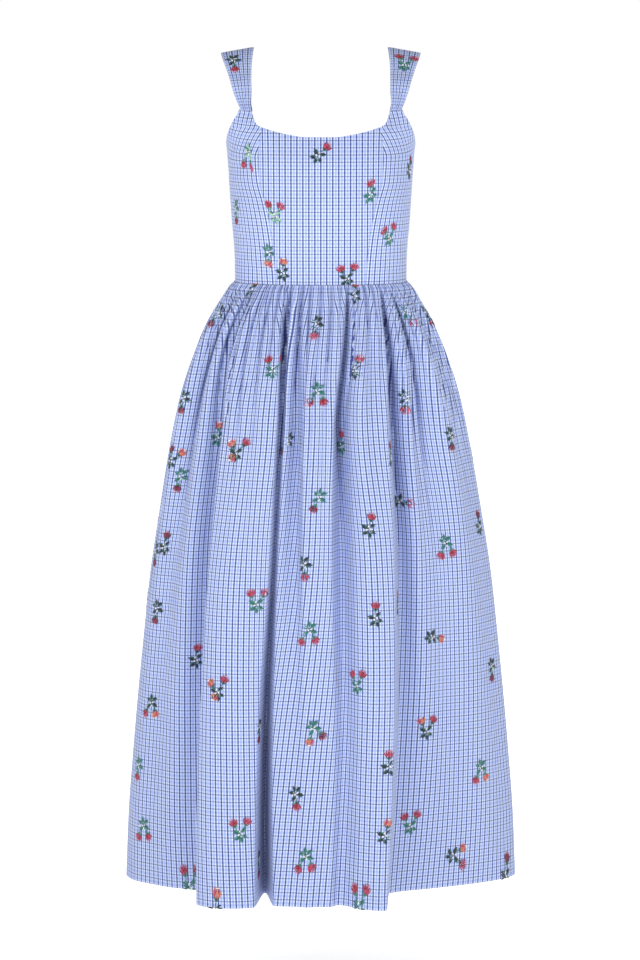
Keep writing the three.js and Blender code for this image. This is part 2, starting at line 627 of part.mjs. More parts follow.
const group = new THREE.Group();
group.add(bodiceCentreFront());
for (const [word, side] of Object.entries(sides)) {
  group.add(fannedPanel(`bodice_side_front_${word}`, "front", side, SIDE_FRONT_TOP, frontSeamTurn));
  group.add(fannedPanel(`bodice_back_${word}`, "back", side, BACK_TOP, () => 0));
  group.add(strap(`strap_${word}`, side));
}
const startOf = () => 0;
const endOf = () => 1;
const centreOf = (ring) => ring.centreShare;
group.add(skirtPanel("skirt_front", "front", startOf, endOf, SKIRT_COLUMNS));
group.add(skirtPanel("skirt_back_right", "back", startOf, centreOf, SKIRT_COLUMNS / 2));
group.add(skirtPanel("skirt_back_left", "back", centreOf, endOf, SKIRT_COLUMNS / 2));
group.add(zipTape());
group.add(await zipSlider());
group.add(zipPull());

export default group;
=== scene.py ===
"""Sleeveless midi dress in checked cotton with embroidered rosebud sprigs, filled out as if worn.

The cloth is worked out in millimetres from a few tables and made into thin shells in metres, in
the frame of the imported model: +Z up, the front faces -Y, the origin on the shoulder line.
"""

import logging
import math
from dataclasses import dataclass, field
from enum import Enum
from typing import Callable, NamedTuple, Sequence

import bpy
import numpy as np
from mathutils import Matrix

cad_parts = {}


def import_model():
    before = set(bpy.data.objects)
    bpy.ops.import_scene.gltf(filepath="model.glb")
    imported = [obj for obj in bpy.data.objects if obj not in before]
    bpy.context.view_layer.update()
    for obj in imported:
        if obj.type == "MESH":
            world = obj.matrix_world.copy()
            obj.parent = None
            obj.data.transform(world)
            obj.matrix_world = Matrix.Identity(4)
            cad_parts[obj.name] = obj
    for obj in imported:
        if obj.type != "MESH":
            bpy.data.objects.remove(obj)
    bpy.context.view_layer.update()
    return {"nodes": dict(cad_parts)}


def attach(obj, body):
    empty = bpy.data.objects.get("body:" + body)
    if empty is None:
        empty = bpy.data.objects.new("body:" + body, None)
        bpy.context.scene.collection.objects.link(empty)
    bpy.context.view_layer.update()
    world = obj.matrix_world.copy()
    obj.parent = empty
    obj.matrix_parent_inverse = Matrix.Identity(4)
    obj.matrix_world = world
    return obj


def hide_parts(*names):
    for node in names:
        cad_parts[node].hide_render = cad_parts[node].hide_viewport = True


log = logging.getLogger("dress")

MM = 0.001
BODY = "dress"
SIDES = (("right", -1), ("left", 1))
Array = np.ndarray


# Heights and widths of the cut in millimetres, and the side seams' turn from the centre in degrees

WAIST = -331.0
HEM = -1192.0
STRAP_JOIN = -88.8
SEAM_GAP = 0.3
CLOTH_THICKNESS = 0.9
STRAP_THICKNESS = 1.7
SIDE_TURN = 90.0

# The shortest normal that is divided by, and how far inside a grid its last row is read
TINY = 1e-9
GRID_MARGIN = 0.001

# Where on a half wave a crease starts, and the power that sharpens its ends
CREASE_END = 0.08
CREASE_FADE = 0.7


class Half(Enum):
    """The front or the back of the dress, with the sign of Y that it faces."""

    FRONT = -1
    BACK = 1


class Ring(NamedTuple):
    """Half sizes of the plain form at one height, and how square the ring is (2 is an ellipse)."""

    height: float
    side: float
    front: float
    back: float
    square: float


RINGS = (
    Ring(-1192, 282.5, 137, 150, 2),
    Ring(-1099, 278.5, 137, 149, 2),
    Ring(-1010, 271.5, 136, 147, 2),
    Ring(-922, 263.5, 135, 145, 2),
    Ring(-835, 254.5, 134, 143, 2),
    Ring(-747, 244.5, 133, 140, 2),
    Ring(-660, 230.5, 131, 137, 2),
    Ring(-574, 215.5, 129, 133, 2),
    Ring(-487, 195.5, 125, 127, 2.05),
    Ring(-444, 181, 122, 122, 2.1),
    Ring(-401, 163.5, 116, 114, 2.15),
    Ring(-358, 140.5, 104, 101, 2.25),
    Ring(-337, 127.5, 95.5, 91, 2.4),
    Ring(-331, 122, 92, 87, 2.45),
    Ring(-294, 122.5, 102, 90, 2.45),
    Ring(-252, 125.8, 118, 95, 2.45),
    Ring(-209, 128.6, 128, 98.5, 2.45),
    Ring(-167, 131.3, 127, 99, 2.5),
    Ring(-137, 134, 120.5, 97, 2.5),
    Ring(-111, 143, 109.5, 90, 2.5),
    Ring(-88.8, 152, 95, 81.5, 2.5),
    Ring(-60, 162, 78, 68, 2.5),
)


class SeamPoint(NamedTuple):
    """Distance of a seam from the centre at one height."""

    height: float
    across: float


FRONT_SEAM = (
    SeamPoint(-331, 63),
    SeamPoint(-290, 66),
    SeamPoint(-250, 71),
    SeamPoint(-215, 78),
    SeamPoint(-184, 86),
    SeamPoint(-150, 88),
    SeamPoint(-128, 85.5),
    SeamPoint(-111, 82),
)
SEAM_TOP_HEIGHT = -111
SEAM_TOP_TURN = 35

NECKLINE = (
    SeamPoint(-124.4, 0),
    SeamPoint(-124.2, 22),
    SeamPoint(-120.8, 45),
    SeamPoint(-115.9, 67),
    SeamPoint(-110.3, 84),
)


class EdgePoint(NamedTuple):
    """A point of a panel's top edge: turn from the centre in degrees, and height."""

    turn: float
    height: float


SIDE_FRONT_TOP = (
    EdgePoint(35, -111),
    EdgePoint(38, -107.5),
    EdgePoint(39.2, -100),
    EdgePoint(39.4, -88.8),
    EdgePoint(46.9, -88.8),
    EdgePoint(52.4, -96),
    EdgePoint(57.8, -104),
    EdgePoint(63.7, -113),
    EdgePoint(71, -123),
    EdgePoint(80, -132),
    EdgePoint(90, -137),
)
BACK_TOP = (
    EdgePoint(0, -150),
    EdgePoint(10, -149.7),
    EdgePoint(20, -148),
    EdgePoint(31, -141),
    EdgePoint(38, -129),
    EdgePoint(41, -116),
    EdgePoint(41.6, -103),
    EdgePoint(41.9, -88.8),
    EdgePoint(49.1, -88.8),
    EdgePoint(54, -98),
    EdgePoint(59, -107),
    EdgePoint(65, -116),
    EdgePoint(72, -124.5),
    EdgePoint(80.5, -132.5),
    EdgePoint(90, -137),
)


class StrapPoint(NamedTuple):
    """The strap seen from the front: drop below the shoulder, centre line, half width."""

    drop: float
    centre: float
    half: float


STRAP = (
    StrapPoint(0, 118.4, 24),
    StrapPoint(12, 117.2, 21.4),
    StrapPoint(28, 114.8, 17.6),
    StrapPoint(45, 112.2, 14.8),
    StrapPoint(62, 109.8, 12.6),
    StrapPoint(72, 108.4, 10.4),
    StrapPoint(80, 106.6, 8.5),
    StrapPoint(88.8, 103.75, 7.35),
)


class Fold(NamedTuple):
    """A ridge or trough line of the skirt: its turn in degrees and how far it stands out, by height."""

    name: str
    turn: tuple[float, ...]
    out: tuple[float, ...]

    def at(self, height: float) -> tuple[float, float]:
        """Return the line's turn and how far it stands out at a height."""
        down = [-level for level in FOLD_HEIGHTS]
        return float(Curve(down, self.turn)(-height)), float(Curve(down, self.out)(-height))


FOLD_HEIGHTS = (-331, -400, -530, -700, -940, -1192)
FRONT_FOLDS = (
    Fold("side seam right", (-90, -90, -90, -90, -90, -90), (0, 0, 0, 0, 0, 0)),
    Fold("soft side ridge", (-74, -73, -72, -71, -70, -70), (0, 5, 7, 5, 3, 2)),
    Fold("soft side trough", (-64, -63, -61, -60, -60, -60), (0, -4, -5, -3, -1, 0)),
    Fold("outer ridge", (-55, -53, -51, -50, -49, -48), (0, 7, 11, 9, 6, 2)),
    Fold("outer trough", (-48, -47, -41.8, -40.2, -38.8, -37), (0, -10, -15, -16, -10, -4)),
    Fold("broad fold edge", (-44, -44, -39, -37.8, -36.7, -35.2), (0, 11, 33, 50, 68, 84)),
    Fold("broad fold top", (-36, -33, -31.5, -31, -30.5, -29.5), (0, 13, 38, 58, 79, 97)),
    Fold("broad fold slope", (-25, -20, -17.4, -17.5, -19.2, -19.2), (0, 11, 35, 53, 68, 84)),
    Fold("deep trough", (-20, -17.8, -15.7, -15.8, -16.8, -16.3), (0, -9, 8, 20, 6, -6)),
    Fold("centre fold edge", (-16, -15.4, -14, -14.3, -14.3, -13.3), (0, 8, 25, 42, 57, 71)),
    Fold("short crease", (-12, -10.6, -9, -8.6, -8, -7.5), (0, -7, 4, 28, 55, 72)),
    Fold("narrow ridge", (-7, -7.2, -6.4, -5.5, -4.5, -4), (0, 10, 29, 47, 62, 76)),
    Fold("centre fold middle", (3, 0.5, -1, -1, 0, 0), (0, 9, 28, 44, 61, 72)),
    Fold("centre fold ridge", (12, 9.5, 4.7, 3.2, 3.5, 2.5), (0, 8, 31, 43, 61, 73)),
    Fold("slanting crease", (17.5, 12.8, 6.4, 6.8, 7, 5), (0, -10, -4, 14, 46, 62)),
    Fold("slanting edge", (19.8, 15.6, 12, 12, 12, 11), (0, 7, 26, 44, 70, 86)),
    Fold("centre fold top", (22, 19, 15.5, 16.5, 16.8, 17), (0, 12, 35, 55, 81, 101)),
    Fold("slot under the waist", (27, 25, 21.5, 21, 19.8, 17.8), (0, 1, 29, 54, 82, 101.5)),
    Fold("centre fold end", (34, 31.4, 26.2, 24.6, 22, 18.6), (0, 12, 32, 53, 81, 100)),
    Fold("long trough", (42, 35.5, 29.4, 27.5, 24.7, 20.2), (0, -10, -14, -13, -7, -1)),
    Fold("flat ridge", (46, 40.5, 36, 34.5, 33, 31), (0, 8, 10, 7, 1, -14)),
    Fold("fading trough", (50, 47.5, 43.6, 43, 43, 43), (0, -7, -8, -2, -6, -17)),
    Fold("wide side ridge", (58, 57.5, 57, 57, 58, 58), (0, 6, 8, 4, -4, -15)),
    Fold("short side trough", (66, 68, 71, 72, 72, 72), (0, -6, -3, -3, -6, -9)),
    Fold("side seam left", (90, 90, 90, 90, 90, 90), (0, 0, 0, 0, 0, 0)),
)
BACK_FOLDS = (
    Fold("side seam right", (-90, -90, -90, -90, -90, -90), (0, 0, 0, 0, 0, 0)),
    Fold("side ridge", (-72, -71, -69, -68, -67, -67), (0, 5, 8, 8, 6, 4)),
    Fold("side trough", (-61, -60, -58, -57, -56, -55), (0, -5, -8, -8, -8, -6)),
    Fold("wide fold edge", (-53, -51.5, -50, -49, -47.5, -46), (0, 8, 19, 30, 42, 54)),
    Fold("wide fold top", (-43, -42, -40.5, -39.5, -39, -38), (0, 10, 26, 40, 56, 70)),
    Fold("wide fold slope", (-33, -32.5, -32, -31, -30, -29.5), (0, 6, 18, 28, 40, 52)),
    Fold("right trough", (-23, -23.5, -23.5, -23, -22, -21), (0, -9, -13, -15, -12, -8)),
    Fold("middle fold edge", (-16, -17, -18, -18, -17, -16.5), (0, 8, 17, 27, 38, 50)),
    Fold("middle fold top", (-8, -8.5, -9, -9.5, -9, -8.5), (0, 7, 20, 32, 46, 60)),
    Fold("centre back seam", (0, 0, 0, 0, 0, 0), (0, 5, 12, 19, 31, 42)),
    Fold("seam fold", (8.5, 9, 8.5, 8, 8.5, 9), (0, 7, 19, 31, 44, 57)),
    Fold("left trough", (19, 18, 17, 16.5, 17, 18), (0, -9, -14, -16, -14, -10)),
    Fold("next fold edge", (24.5, 23.5, 22.5, 22, 22.5, 23), (0, 8, 20, 33, 47, 60)),
    Fold("next fold top", (34, 33, 32, 31.5, 32, 32.5), (0, 11, 27, 43, 60, 75)),
    Fold("next fold end", (44, 43, 42, 41.5, 41, 41), (0, 7, 17, 28, 40, 50)),
    Fold("outer trough", (51, 50, 49, 48.5, 48, 47), (0, -8, -11, -11, -9, -6)),
    Fold("outer fold", (61, 60.5, 60, 59.5, 59, 58), (0, 6, 12, 15, 17, 18)),
    Fold("side dip", (73, 73, 73, 73, 73, 73), (0, -4, -4, -3, -2, -1)),
    Fold("side seam left", (90, 90, 90, 90, 90, 90), (0, 0, 0, 0, 0, 0)),
)


# Small helpers


class Curve:
    """A smooth curve through given values that never swings past them."""

    def __init__(self, places: Sequence[float], values: Sequence[float], flat_ends: bool = False) -> None:
        """Work out the slope at each value.

        Args:
            places: where the values lie, rising.
            values: the values.
            flat_ends: True for a curve that starts and ends level.
        """
        self.places = np.asarray(places, float)
        self.values = np.asarray(values, float)
        step = np.diff(self.places)
        rise = np.diff(self.values) / step
        before = 2 * step[1:] + step[:-1]
        after = step[1:] + 2 * step[:-1]
        self.slope = np.zeros_like(self.values)
        same_way = rise[:-1] * rise[1:] > 0
        safe_left = np.where(same_way, rise[:-1], 1)
        safe_right = np.where(same_way, rise[1:], 1)
        mean = (before + after) / (before / safe_left + after / safe_right)
        self.slope[1:-1] = np.where(same_way, mean, 0)
        if not flat_ends:
            self.slope[0] = rise[0]
            self.slope[-1] = rise[-1]

    def __call__(self, place: Array | float) -> Array:
        """Read the curve.

        Args:
            place: the places to read it at.

        Returns:
            The curve's value at each place.
        """
        at = np.clip(place, self.places[0], self.places[-1])
        i = np.clip(np.searchsorted(self.places, at, side="right") - 1, 0, len(self.places) - 2)
        step = self.places[i + 1] - self.places[i]
        t = (at - self.places[i]) / step
        rest = 1 - t
        low = (1 + 2 * t) * rest**2 * self.values[i] + t * rest**2 * step * self.slope[i]
        high = t**2 * (3 - 2 * t) * self.values[i + 1] - t**2 * rest * step * self.slope[i + 1]
        return low + high


def fold_profile(folds: Sequence[Fold], height: float) -> Curve:
    """Return how far the skirt stands out at a height, as a curve over the turn in degrees."""
    lines = [fold.at(height) for fold in folds]
    return Curve([turn for turn, _ in lines], [out for _, out in lines], True)


def smooth_step(value: Array | float, low: float, high: float) -> Array:
    """Return 0 below low and 1 above high, with a smooth rise between."""
    t = np.clip((np.asarray(value, float) - low) / (high - low), 0, 1)
    return t * t * (3 - 2 * t)


def linear(hex_colour: str) -> tuple[float, float, float, float]:
    """Turn an sRGB hex colour into linear red, green, blue and alpha.

    Args:
        hex_colour: six hex digits.

    Returns:
        The colour as Blender's sockets take it.
    """
    parts = [int(hex_colour[i : i + 2], 16) / 255 for i in (0, 2, 4)]
    # The numbers are the sRGB standard's own
    curve = [c / 12.92 if c <= 0.04045 else ((c + 0.055) / 1.055) ** 2.4 for c in parts]
    return (curve[0], curve[1], curve[2], 1.0)


def add_node(tree: bpy.types.NodeTree, kind: str, links: dict | None = None,
             **settings: object) -> bpy.types.Node:
    """Add a node to a tree.

    Args:
        tree: the node tree.
        kind: the node's type name.
        links: socket name or number to a value, or to the output socket that feeds it.
        settings: the node's own properties.

    Returns:
        The new node.
    """
    node = tree.nodes.new(kind)
    for name, value in settings.items():
        setattr(node, name, value)
    for name, value in (links or {}).items():
        if isinstance(value, bpy.types.NodeSocket):
            tree.links.new(value, node.inputs[name])
        else:
            node.inputs[name].default_value = value
    return node


def length_along(points: Array, axis: int) -> Array:
    """Measure along one axis of a grid of points.

    Args:
        points: the grid, with a last axis of x, y and z.
        axis: the axis to run along.

    Returns:
        The length run so far at each point, 0 at the first.
    """
    step = np.linalg.norm(np.diff(points, axis=axis), axis=-1)
    start = np.zeros_like(np.take(step, [0], axis=axis))
    return np.concatenate([start, np.cumsum(step, axis=axis)], axis=axis)


# The plain form under the cloth


class BodyForm:
    """The rings of the dress as smooth curves over the height."""

    def __init__(self, rings: Sequence[Ring]) -> None:
        """Make one curve for each column of the table.

        Args:
            rings: the table, from the hem up.
        """
        heights = [ring.height for ring in rings]
        self.side = Curve(heights, [ring.side for ring in rings])
        self.square = Curve(heights, [ring.square for ring in rings])
        self.depth = {
            Half.FRONT: Curve(heights, [ring.front for ring in rings]),
            Half.BACK: Curve(heights, [ring.back for ring in rings]),
        }

    def at(self, half: Half, turn: Array, height: Array) -> Array:
        """Return points of the plain ring.

        Args:
            half: front or back.
            turn: radians from the centre of that half.
            height: heights, the same shape as turn.

        Returns:
            Points with a last axis of x, y and z.
        """
        turn, height = np.broadcast_arrays(turn, height)
        share = np.minimum(np.abs(np.sin(turn)), 1)
        square = self.square(height)
        depth = self.depth[half](height) * (1 - share**square) ** (1 / square)
        return np.stack([self.side(height) * np.sin(turn), half.value * depth, height], -1)

    def distance(self, half: Half, start: Array, end: Array, height: Array, steps: int = 24) -> Array:
        """Measure along the ring from one turn to another, at each height.

        Args:
            half: front or back.
            start: the turns to start from, in radians.
            end: the turns to end at.
            height: the heights.
            steps: how many points the ring is measured on.

        Returns:
            The lengths, in millimetres.
        """
        share = np.linspace(0, 1, steps)
        turn = start[..., None] + (end - start)[..., None] * share
        points = self.at(half, turn, np.broadcast_to(height[..., None], turn.shape))
        return np.linalg.norm(np.diff(points, axis=-2), axis=-1).sum(-1)


FORM = BodyForm(RINGS)


# The camera, which also says where a place of the photograph lies on the cloth


@dataclass(frozen=True)
class PhotoView:
    """The camera that stands where the photograph was taken from.

    Places are in millimetres, the pitch is in degrees, and the focal length and the frame are in
    pixels. The sensor is in millimetres, and the far end of the view is in metres.
    """

    name: str = "photo_view"
    distance: float = 5200
    side: float = -1.1
    height: float = 17
    pitch: float = 6.95
    focal: float = 3653
    frame_width: int = 640
    frame_height: int = 960
    sensor: float = 36
    view_end: float = 60

    def pixels(self, points: Array) -> tuple[Array, Array, Array]:
        """Return where points fall in the frame, and how far away they are.

        Args:
            points: points with a last axis of x, y and z.

        Returns:
            Pixels across, pixels down, and the distance along the view.
        """
        pitch = math.radians(self.pitch)
        forward = points[..., 1] + self.distance
        up = points[..., 2] - self.height
        far = forward * math.cos(pitch) - up * math.sin(pitch)
        rise = forward * math.sin(pitch) + up * math.cos(pitch)
        across = self.frame_width / 2 + self.focal * (points[..., 0] - self.side) / far
        down = self.frame_height / 2 - self.focal * rise / far
        return across, down, far

    def build(self) -> None:
        """Make the camera and use it for the scene."""
        data = bpy.data.cameras.new(self.name)
        data.sensor_width = self.sensor
        data.lens = self.focal / self.frame_height * self.sensor
        data.clip_end = self.view_end
        camera = bpy.data.objects.new(self.name, data)
        camera.location = (self.side * MM, -self.distance * MM, self.height * MM)
        camera.rotation_euler = (math.radians(90 - self.pitch), 0, 0)
        bpy.context.scene.collection.objects.link(camera)
        bpy.context.scene.camera = camera


VIEW = PhotoView()


# Finishes


class Stripe(NamedTuple):
    """One set of the check's stripes, in millimetres: axis 0 runs up the cloth, and 1 runs across it."""

    axis: int
    repeat: float
    width: float
    offset: float
    colour: str
    strength: float


@dataclass(frozen=True)
class CheckedCotton:
    """Yarn-dyed cotton poplin, woven: a matt cloth with a fine check of navy and mid-blue yarns."""

    name: str = "cotton_poplin_yarn_dyed"
    ground: str = "d9e4f8"
    checks: tuple[Stripe, ...] = (
        Stripe(0, 8.3, 3.0, 0.5, "90a4e2", 0.75),
        Stripe(1, 9.9, 3.0, 0.5, "90a4e2", 0.55),
        Stripe(1, 9.9, 1.4, 0.0, "132c86", 0.62),
        Stripe(0, 8.3, 2.1, 0.0, "132c86", 0.9),
    )
    edge_share: float = 0.12
    least_edge: float = 0.02
    weave: float = 1.1

    def cover(self, tree: bpy.types.NodeTree, place: bpy.types.NodeSocket,
              stripe: Stripe) -> bpy.types.NodeSocket:
        """Add the nodes for one set of soft-edged stripes.

        Args:
            tree: the material's nodes.
            place: the place on the cloth along one way, in metres.
            stripe: the stripes' sizes.

        Returns:
            How much the stripes cover, from 0 to 1.
        """
        scaled = add_node(tree, "ShaderNodeMath",
                          {0: place, 1: 1 / (stripe.repeat * MM), 2: 0.5 - stripe.offset},
                          operation="MULTIPLY_ADD")
        part = add_node(tree, "ShaderNodeMath", {0: scaled.outputs[0]}, operation="FRACT")
        centred = add_node(tree, "ShaderNodeMath", {0: part.outputs[0], 1: 0.5}, operation="SUBTRACT")
        away = add_node(tree, "ShaderNodeMath", {0: centred.outputs[0]}, operation="ABSOLUTE")
        half = stripe.width / stripe.repeat / 2
        soft = self.edge_share * stripe.width / stripe.repeat + self.least_edge
        ramp = add_node(
            tree, "ShaderNodeMapRange",
            {"Value": away.outputs[0], "From Min": half + soft, "From Max": max(half - soft, 0),
             "To Min": 0.0, "To Max": 1.0},
            interpolation_type="SMOOTHSTEP",
        )
        return ramp.outputs["Result"]

    def check(self, tree: bpy.types.NodeTree, axes: bpy.types.Node) -> bpy.types.NodeSocket:
        """Add the nodes that lay the stripes over the ground, the strongest last.

        Args:
            tree: the material's nodes.
            axes: the node that gives the place across and up the cloth.

        Returns:
            The checked colour.
        """
        colour: bpy.types.NodeSocket | tuple = linear(self.ground)
        for stripe in self.checks:
            cover = self.cover(tree, axes.outputs[stripe.axis], stripe)
            factor = add_node(tree, "ShaderNodeMath", {0: cover, 1: stripe.strength}, operation="MULTIPLY")
            mix = add_node(tree, "ShaderNodeMix",
                           {0: factor.outputs[0], 6: colour, 7: linear(stripe.colour)}, data_type="RGBA")
            colour = mix.outputs[2]
        return colour

    def build(self) -> bpy.types.Material:
        """Make the material from the cloth's own UV map, which is in metres of flat cloth.

        Returns:
            The material.
        """
        material = bpy.data.materials.new(self.name)
        material.use_nodes = True
        tree = material.node_tree
        shader = tree.nodes["Principled BSDF"]
        cloth = add_node(tree, "ShaderNodeUVMap", uv_map="cloth")
        axes = add_node(tree, "ShaderNodeSeparateXYZ", {0: cloth.outputs[0]})
        colour = self.check(tree, axes)
        # Slubs: short uneven yarns, 12.5 mm long and 1.1 mm wide, so 80 and 900 to the metre
        slub = add_node(tree, "ShaderNodeMapping", {"Vector": cloth.outputs[0], "Scale": (900, 80, 1)})
        slubs = add_node(tree, "ShaderNodeTexNoise",
                         {"Vector": slub.outputs[0], "Scale": 1.0, "Detail": 2.0})
        shade = add_node(tree, "ShaderNodeMapRange", {"Value": slubs.outputs[0], "From Min": 0.3,
                                                      "From Max": 0.7, "To Min": 0.94, "To Max": 1.04})
        toned = add_node(tree, "ShaderNodeVectorMath", {0: colour, 1: shade.outputs[0]},
                         operation="MULTIPLY")
        tree.links.new(toned.outputs[0], shader.inputs["Base Color"])
        # Weave: real yarns are about 0.2 mm apart, drawn at 1.1 mm so that they show at all
        thread = 2 * math.pi / (self.weave * MM)
        waves = []
        for place in axes.outputs[:2]:
            phase = add_node(tree, "ShaderNodeMath", {0: place, 1: thread}, operation="MULTIPLY")
            wave = add_node(tree, "ShaderNodeMath", {0: phase.outputs[0]}, operation="SINE")
            waves.append(wave.outputs[0])
        weave = add_node(tree, "ShaderNodeMath", {0: waves[0], 1: waves[1]}, operation="MULTIPLY")
        fine = add_node(tree, "ShaderNodeBump",
                        {"Height": weave.outputs[0], "Strength": 0.12, "Distance": 0.0003})
        # Crumples: about 45 mm apart, so 22 to the metre, and a few millimetres deep
        crumple = add_node(tree, "ShaderNodeTexNoise", {"Vector": cloth.outputs[0], "Scale": 22.0,
                                                        "Detail": 3.0, "Roughness": 0.45})
        bump = add_node(tree, "ShaderNodeBump", {"Height": crumple.outputs[0], "Strength": 0.35,
                                                 "Distance": 0.006, "Normal": fine.outputs[0]})
        tree.links.new(bump.outputs[0], shader.inputs["Normal"])
        shader.inputs["Roughness"].default_value = 0.82
        shader.inputs["Specular IOR Level"].default_value = 0.25
        shader.inputs["Sheen Weight"].default_value = 0.15
        shader.inputs["Sheen Roughness"].default_value = 0.5
        return material


@dataclass(frozen=True)
class EmbroideryThread:
    """Stranded rayon thread, spun: satin stitches with a soft gleam, in the colour of each stitch."""

    name: str = "rayon_embroidery_thread"

    def build(self) -> bpy.types.Material:
        """Make the material from the stitches' colour attribute.

        Returns:
            The material.
        """
        material = bpy.data.materials.new(self.name)
        material.use_nodes = True
        tree = material.node_tree
        shader = tree.nodes["Principled BSDF"]
        thread = add_node(tree, "ShaderNodeAttribute", attribute_name="thread")
        place = add_node(tree, "ShaderNodeTexCoord")
        # Twist of the strands: 0.5 mm in the real thread, drawn at 1 mm, so 1000 to the metre
        strands = add_node(tree, "ShaderNodeTexNoise", {"Vector": place.outputs["Object"],
                                                        "Scale": 1000.0, "Detail": 1.0})
        shade = add_node(tree, "ShaderNodeMapRange", {"Value": strands.outputs[0], "From Min": 0.3,
                                                      "From Max": 0.7, "To Min": 0.8, "To Max": 1.12})
        toned = add_node(tree, "ShaderNodeVectorMath", {0: thread.outputs[0], 1: shade.outputs[0]},
                         operation="MULTIPLY")
        tree.links.new(toned.outputs[0], shader.inputs["Base Color"])
        bump = add_node(tree, "ShaderNodeBump", {"Height": strands.outputs[0], "Strength": 0.3,
                                                 "Distance": 0.0003})
        tree.links.new(bump.outputs[0], shader.inputs["Normal"])
        shader.inputs["Roughness"].default_value = 0.45
        shader.inputs["Sheen Weight"].default_value = 0.2
        return material


@dataclass(frozen=True)
class PlainFinish:
    """A plain finish with a little unevenness in tone and surface.

    The grain is a number to the metre: 900 is a speck each 1.1 mm, coarser than real so that it shows.
    """

    name: str
    colour: str
    roughness: float
    metallic: float = 0.0
    grain: float = 900.0
    depth: float = 0.0001

    def build(self) -> bpy.types.Material:
        """Make the material on Object coordinates.

        Returns:
            The material.
        """
        material = bpy.data.materials.new(self.name)
        material.use_nodes = True
        tree = material.node_tree
        shader = tree.nodes["Principled BSDF"]
        place = add_node(tree, "ShaderNodeTexCoord")
        grain = add_node(tree, "ShaderNodeTexNoise", {"Vector": place.outputs["Object"],
                                                      "Scale": self.grain, "Detail": 2.0})
        shade = add_node(tree, "ShaderNodeMapRange", {"Value": grain.outputs[0], "From Min": 0.3,
                                                      "From Max": 0.7, "To Min": 0.9, "To Max": 1.05})
        toned = add_node(tree, "ShaderNodeVectorMath", {0: linear(self.colour)[:3], 1: shade.outputs[0]},
                         operation="MULTIPLY")
        tree.links.new(toned.outputs[0], shader.inputs["Base Color"])
        bump = add_node(tree, "ShaderNodeBump", {"Height": grain.outputs[0], "Strength": 0.3,
                                                 "Distance": self.depth})
        tree.links.new(bump.outputs[0], shader.inputs["Normal"])
        shader.inputs["Roughness"].default_value = self.roughness
        shader.inputs["Metallic"].default_value = self.metallic
        return material


# A cotton twill tape, woven: a matt, faintly ribbed strip
ZIP_TAPE_FINISH = PlainFinish("cotton_zip_tape", "a9b8e0", 0.85)
# Cast zinc under baked enamel: a smooth surface with a low gleam
ZINC_FINISH = PlainFinish("enamelled_zinc", "b3c0e6", 0.35, 0.15)


# Cloth panels


